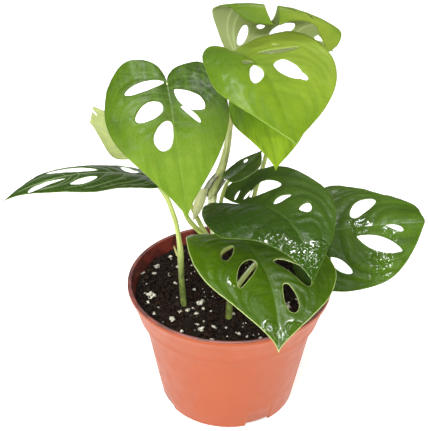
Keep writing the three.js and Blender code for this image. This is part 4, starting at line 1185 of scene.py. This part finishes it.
AMBIENT = 0.42          # the brightness of the surroundings, which the camera sees as white
AMBIENT_SHEEN = 0.16    # the same as reflected by glossy surfaces
FLOOR_SIZE = 4.0        # half its width
FLOOR_DROP = 0.0002     # how far it lies below the pot's base
LAMPS_AIM = Vector((0.01, -0.02, 0.13))
SOFTBOXES = (       # name, azimuth, elevation, distance, size in metres, power in watts, use
    ("overhead", 0, 80, 1.1, 0.6, 7, "soft"),
    ("key", -32, 42, 1.1, 0.6, 11, "soft"),
    ("fill", 50, 25, 1.2, 0.7, 5, "soft"),
    ("back_glint", -166, 70, 1.1, 0.14, 20, "glint"),
    ("left_glint", -44, 48, 1.1, 0.12, 7, "glint"),
    ("right_glint", 120, 68, 1.1, 0.1, 4, "glint"),
)


def build_camera():
    elevation, roll = math.radians(CAMERA_ELEVATION), math.radians(CAMERA_ROLL)
    back = Vector((0, -math.cos(elevation), math.sin(elevation)))
    right = Vector((1, 0, 0))
    up = back.cross(right)
    across = right * math.cos(roll) + up * math.sin(roll)
    above = up * math.cos(roll) - right * math.sin(roll)
    data = bpy.data.cameras.new("camera")
    data.lens, data.sensor_width = LENS, SENSOR
    data.clip_start = 0.01
    camera = link(bpy.data.objects.new("camera", data))
    turn = Matrix((across, above, back)).transposed().to_4x4()
    camera.matrix_world = Matrix.Translation(CAMERA_TARGET + back * CAMERA_DISTANCE) @ turn
    bpy.context.scene.camera = camera


def softbox(name, azimuth, elevation, distance, size, watts, use):
    """A square lamp, at an azimuth from the front towards +X. A soft one lights the colours, a glint
    only makes highlights."""
    a, e = math.radians(azimuth), math.radians(elevation)
    towards = Vector((math.cos(e) * math.sin(a), -math.cos(e) * math.cos(a), math.sin(e)))
    data = bpy.data.lights.new(name, "AREA")
    data.shape = "SQUARE"
    data.size = size
    data.energy = watts
    data.use_shadow = use == "soft"
    lamp = link(bpy.data.objects.new(name, data))
    lamp.location = LAMPS_AIM + towards * distance
    lamp.rotation_euler = (-towards).to_track_quat("-Z", "Y").to_euler()
    lamp.visible_glossy = use == "glint"
    lamp.visible_diffuse = use == "soft"
    lamp.visible_transmission = use == "soft"


def build_floor():
    paint = Paint("floor_paper")
    tone = paint.mix(paint.noise(6, 2), srgb(252, 252, 252), srgb(248, 248, 248))
    material = paint.finish(paint.node("BsdfPrincipled", {
        "Base Color": tone, "Roughness": 0.9, "Specular IOR Level": 0.1,
        "Emission Color": (1, 1, 1, 1), "Emission Strength": 0.55}))
    corners = [(x * FLOOR_SIZE, y * FLOOR_SIZE, 0) for x, y in ((-1, -1), (1, -1), (1, 1), (-1, 1))]
    mesh = bpy.data.meshes.new("floor")
    mesh.from_pydata(corners, [], [(0, 1, 2, 3)])
    mesh.materials.append(material)
    floor = link(bpy.data.objects.new("floor", mesh))
    floor.location.z = -FLOOR_DROP


def build_world():
    """White as the camera sees it, dimmer as light and dimmer still in reflections."""
    world = bpy.data.worlds.new("studio")
    bpy.context.scene.world = world
    world.use_nodes = True
    nodes, links = world.node_tree.nodes, world.node_tree.links
    ray = nodes.new("ShaderNodeLightPath")
    background = nodes["Background"]
    background.inputs["Color"].default_value = (1, 1, 1, 1)
    level = None
    for kind, strength in (("Is Glossy Ray", AMBIENT_SHEEN), ("Is Camera Ray", 1.0)):
        change = nodes.new("ShaderNodeMapRange")
        change.inputs["To Min"].default_value = AMBIENT
        change.inputs["To Max"].default_value = strength
        links.new(ray.outputs[kind], change.inputs["Value"])
        if level:
            links.new(level, change.inputs["To Min"])
        level = change.outputs[0]
    links.new(level, background.inputs["Strength"])
    bpy.context.scene.view_settings.view_transform = "Standard"


# ---- the plant ----

build_camera()
build_floor()
build_world()
for lamp_row in SOFTBOXES:
    softbox(*lamp_row)
build_pot()
build_soil()
build_grains()
build_stalks()
build_sheaths()
for number, (leaf_name, leaf_shape) in enumerate(LEAVES.items()):
    build_leaf(leaf_name, leaf_shape, number + 1.0)
build_leaf("dry_tongue", DRY_TONGUE, 30.0, "sheath_hanging", "sheath")
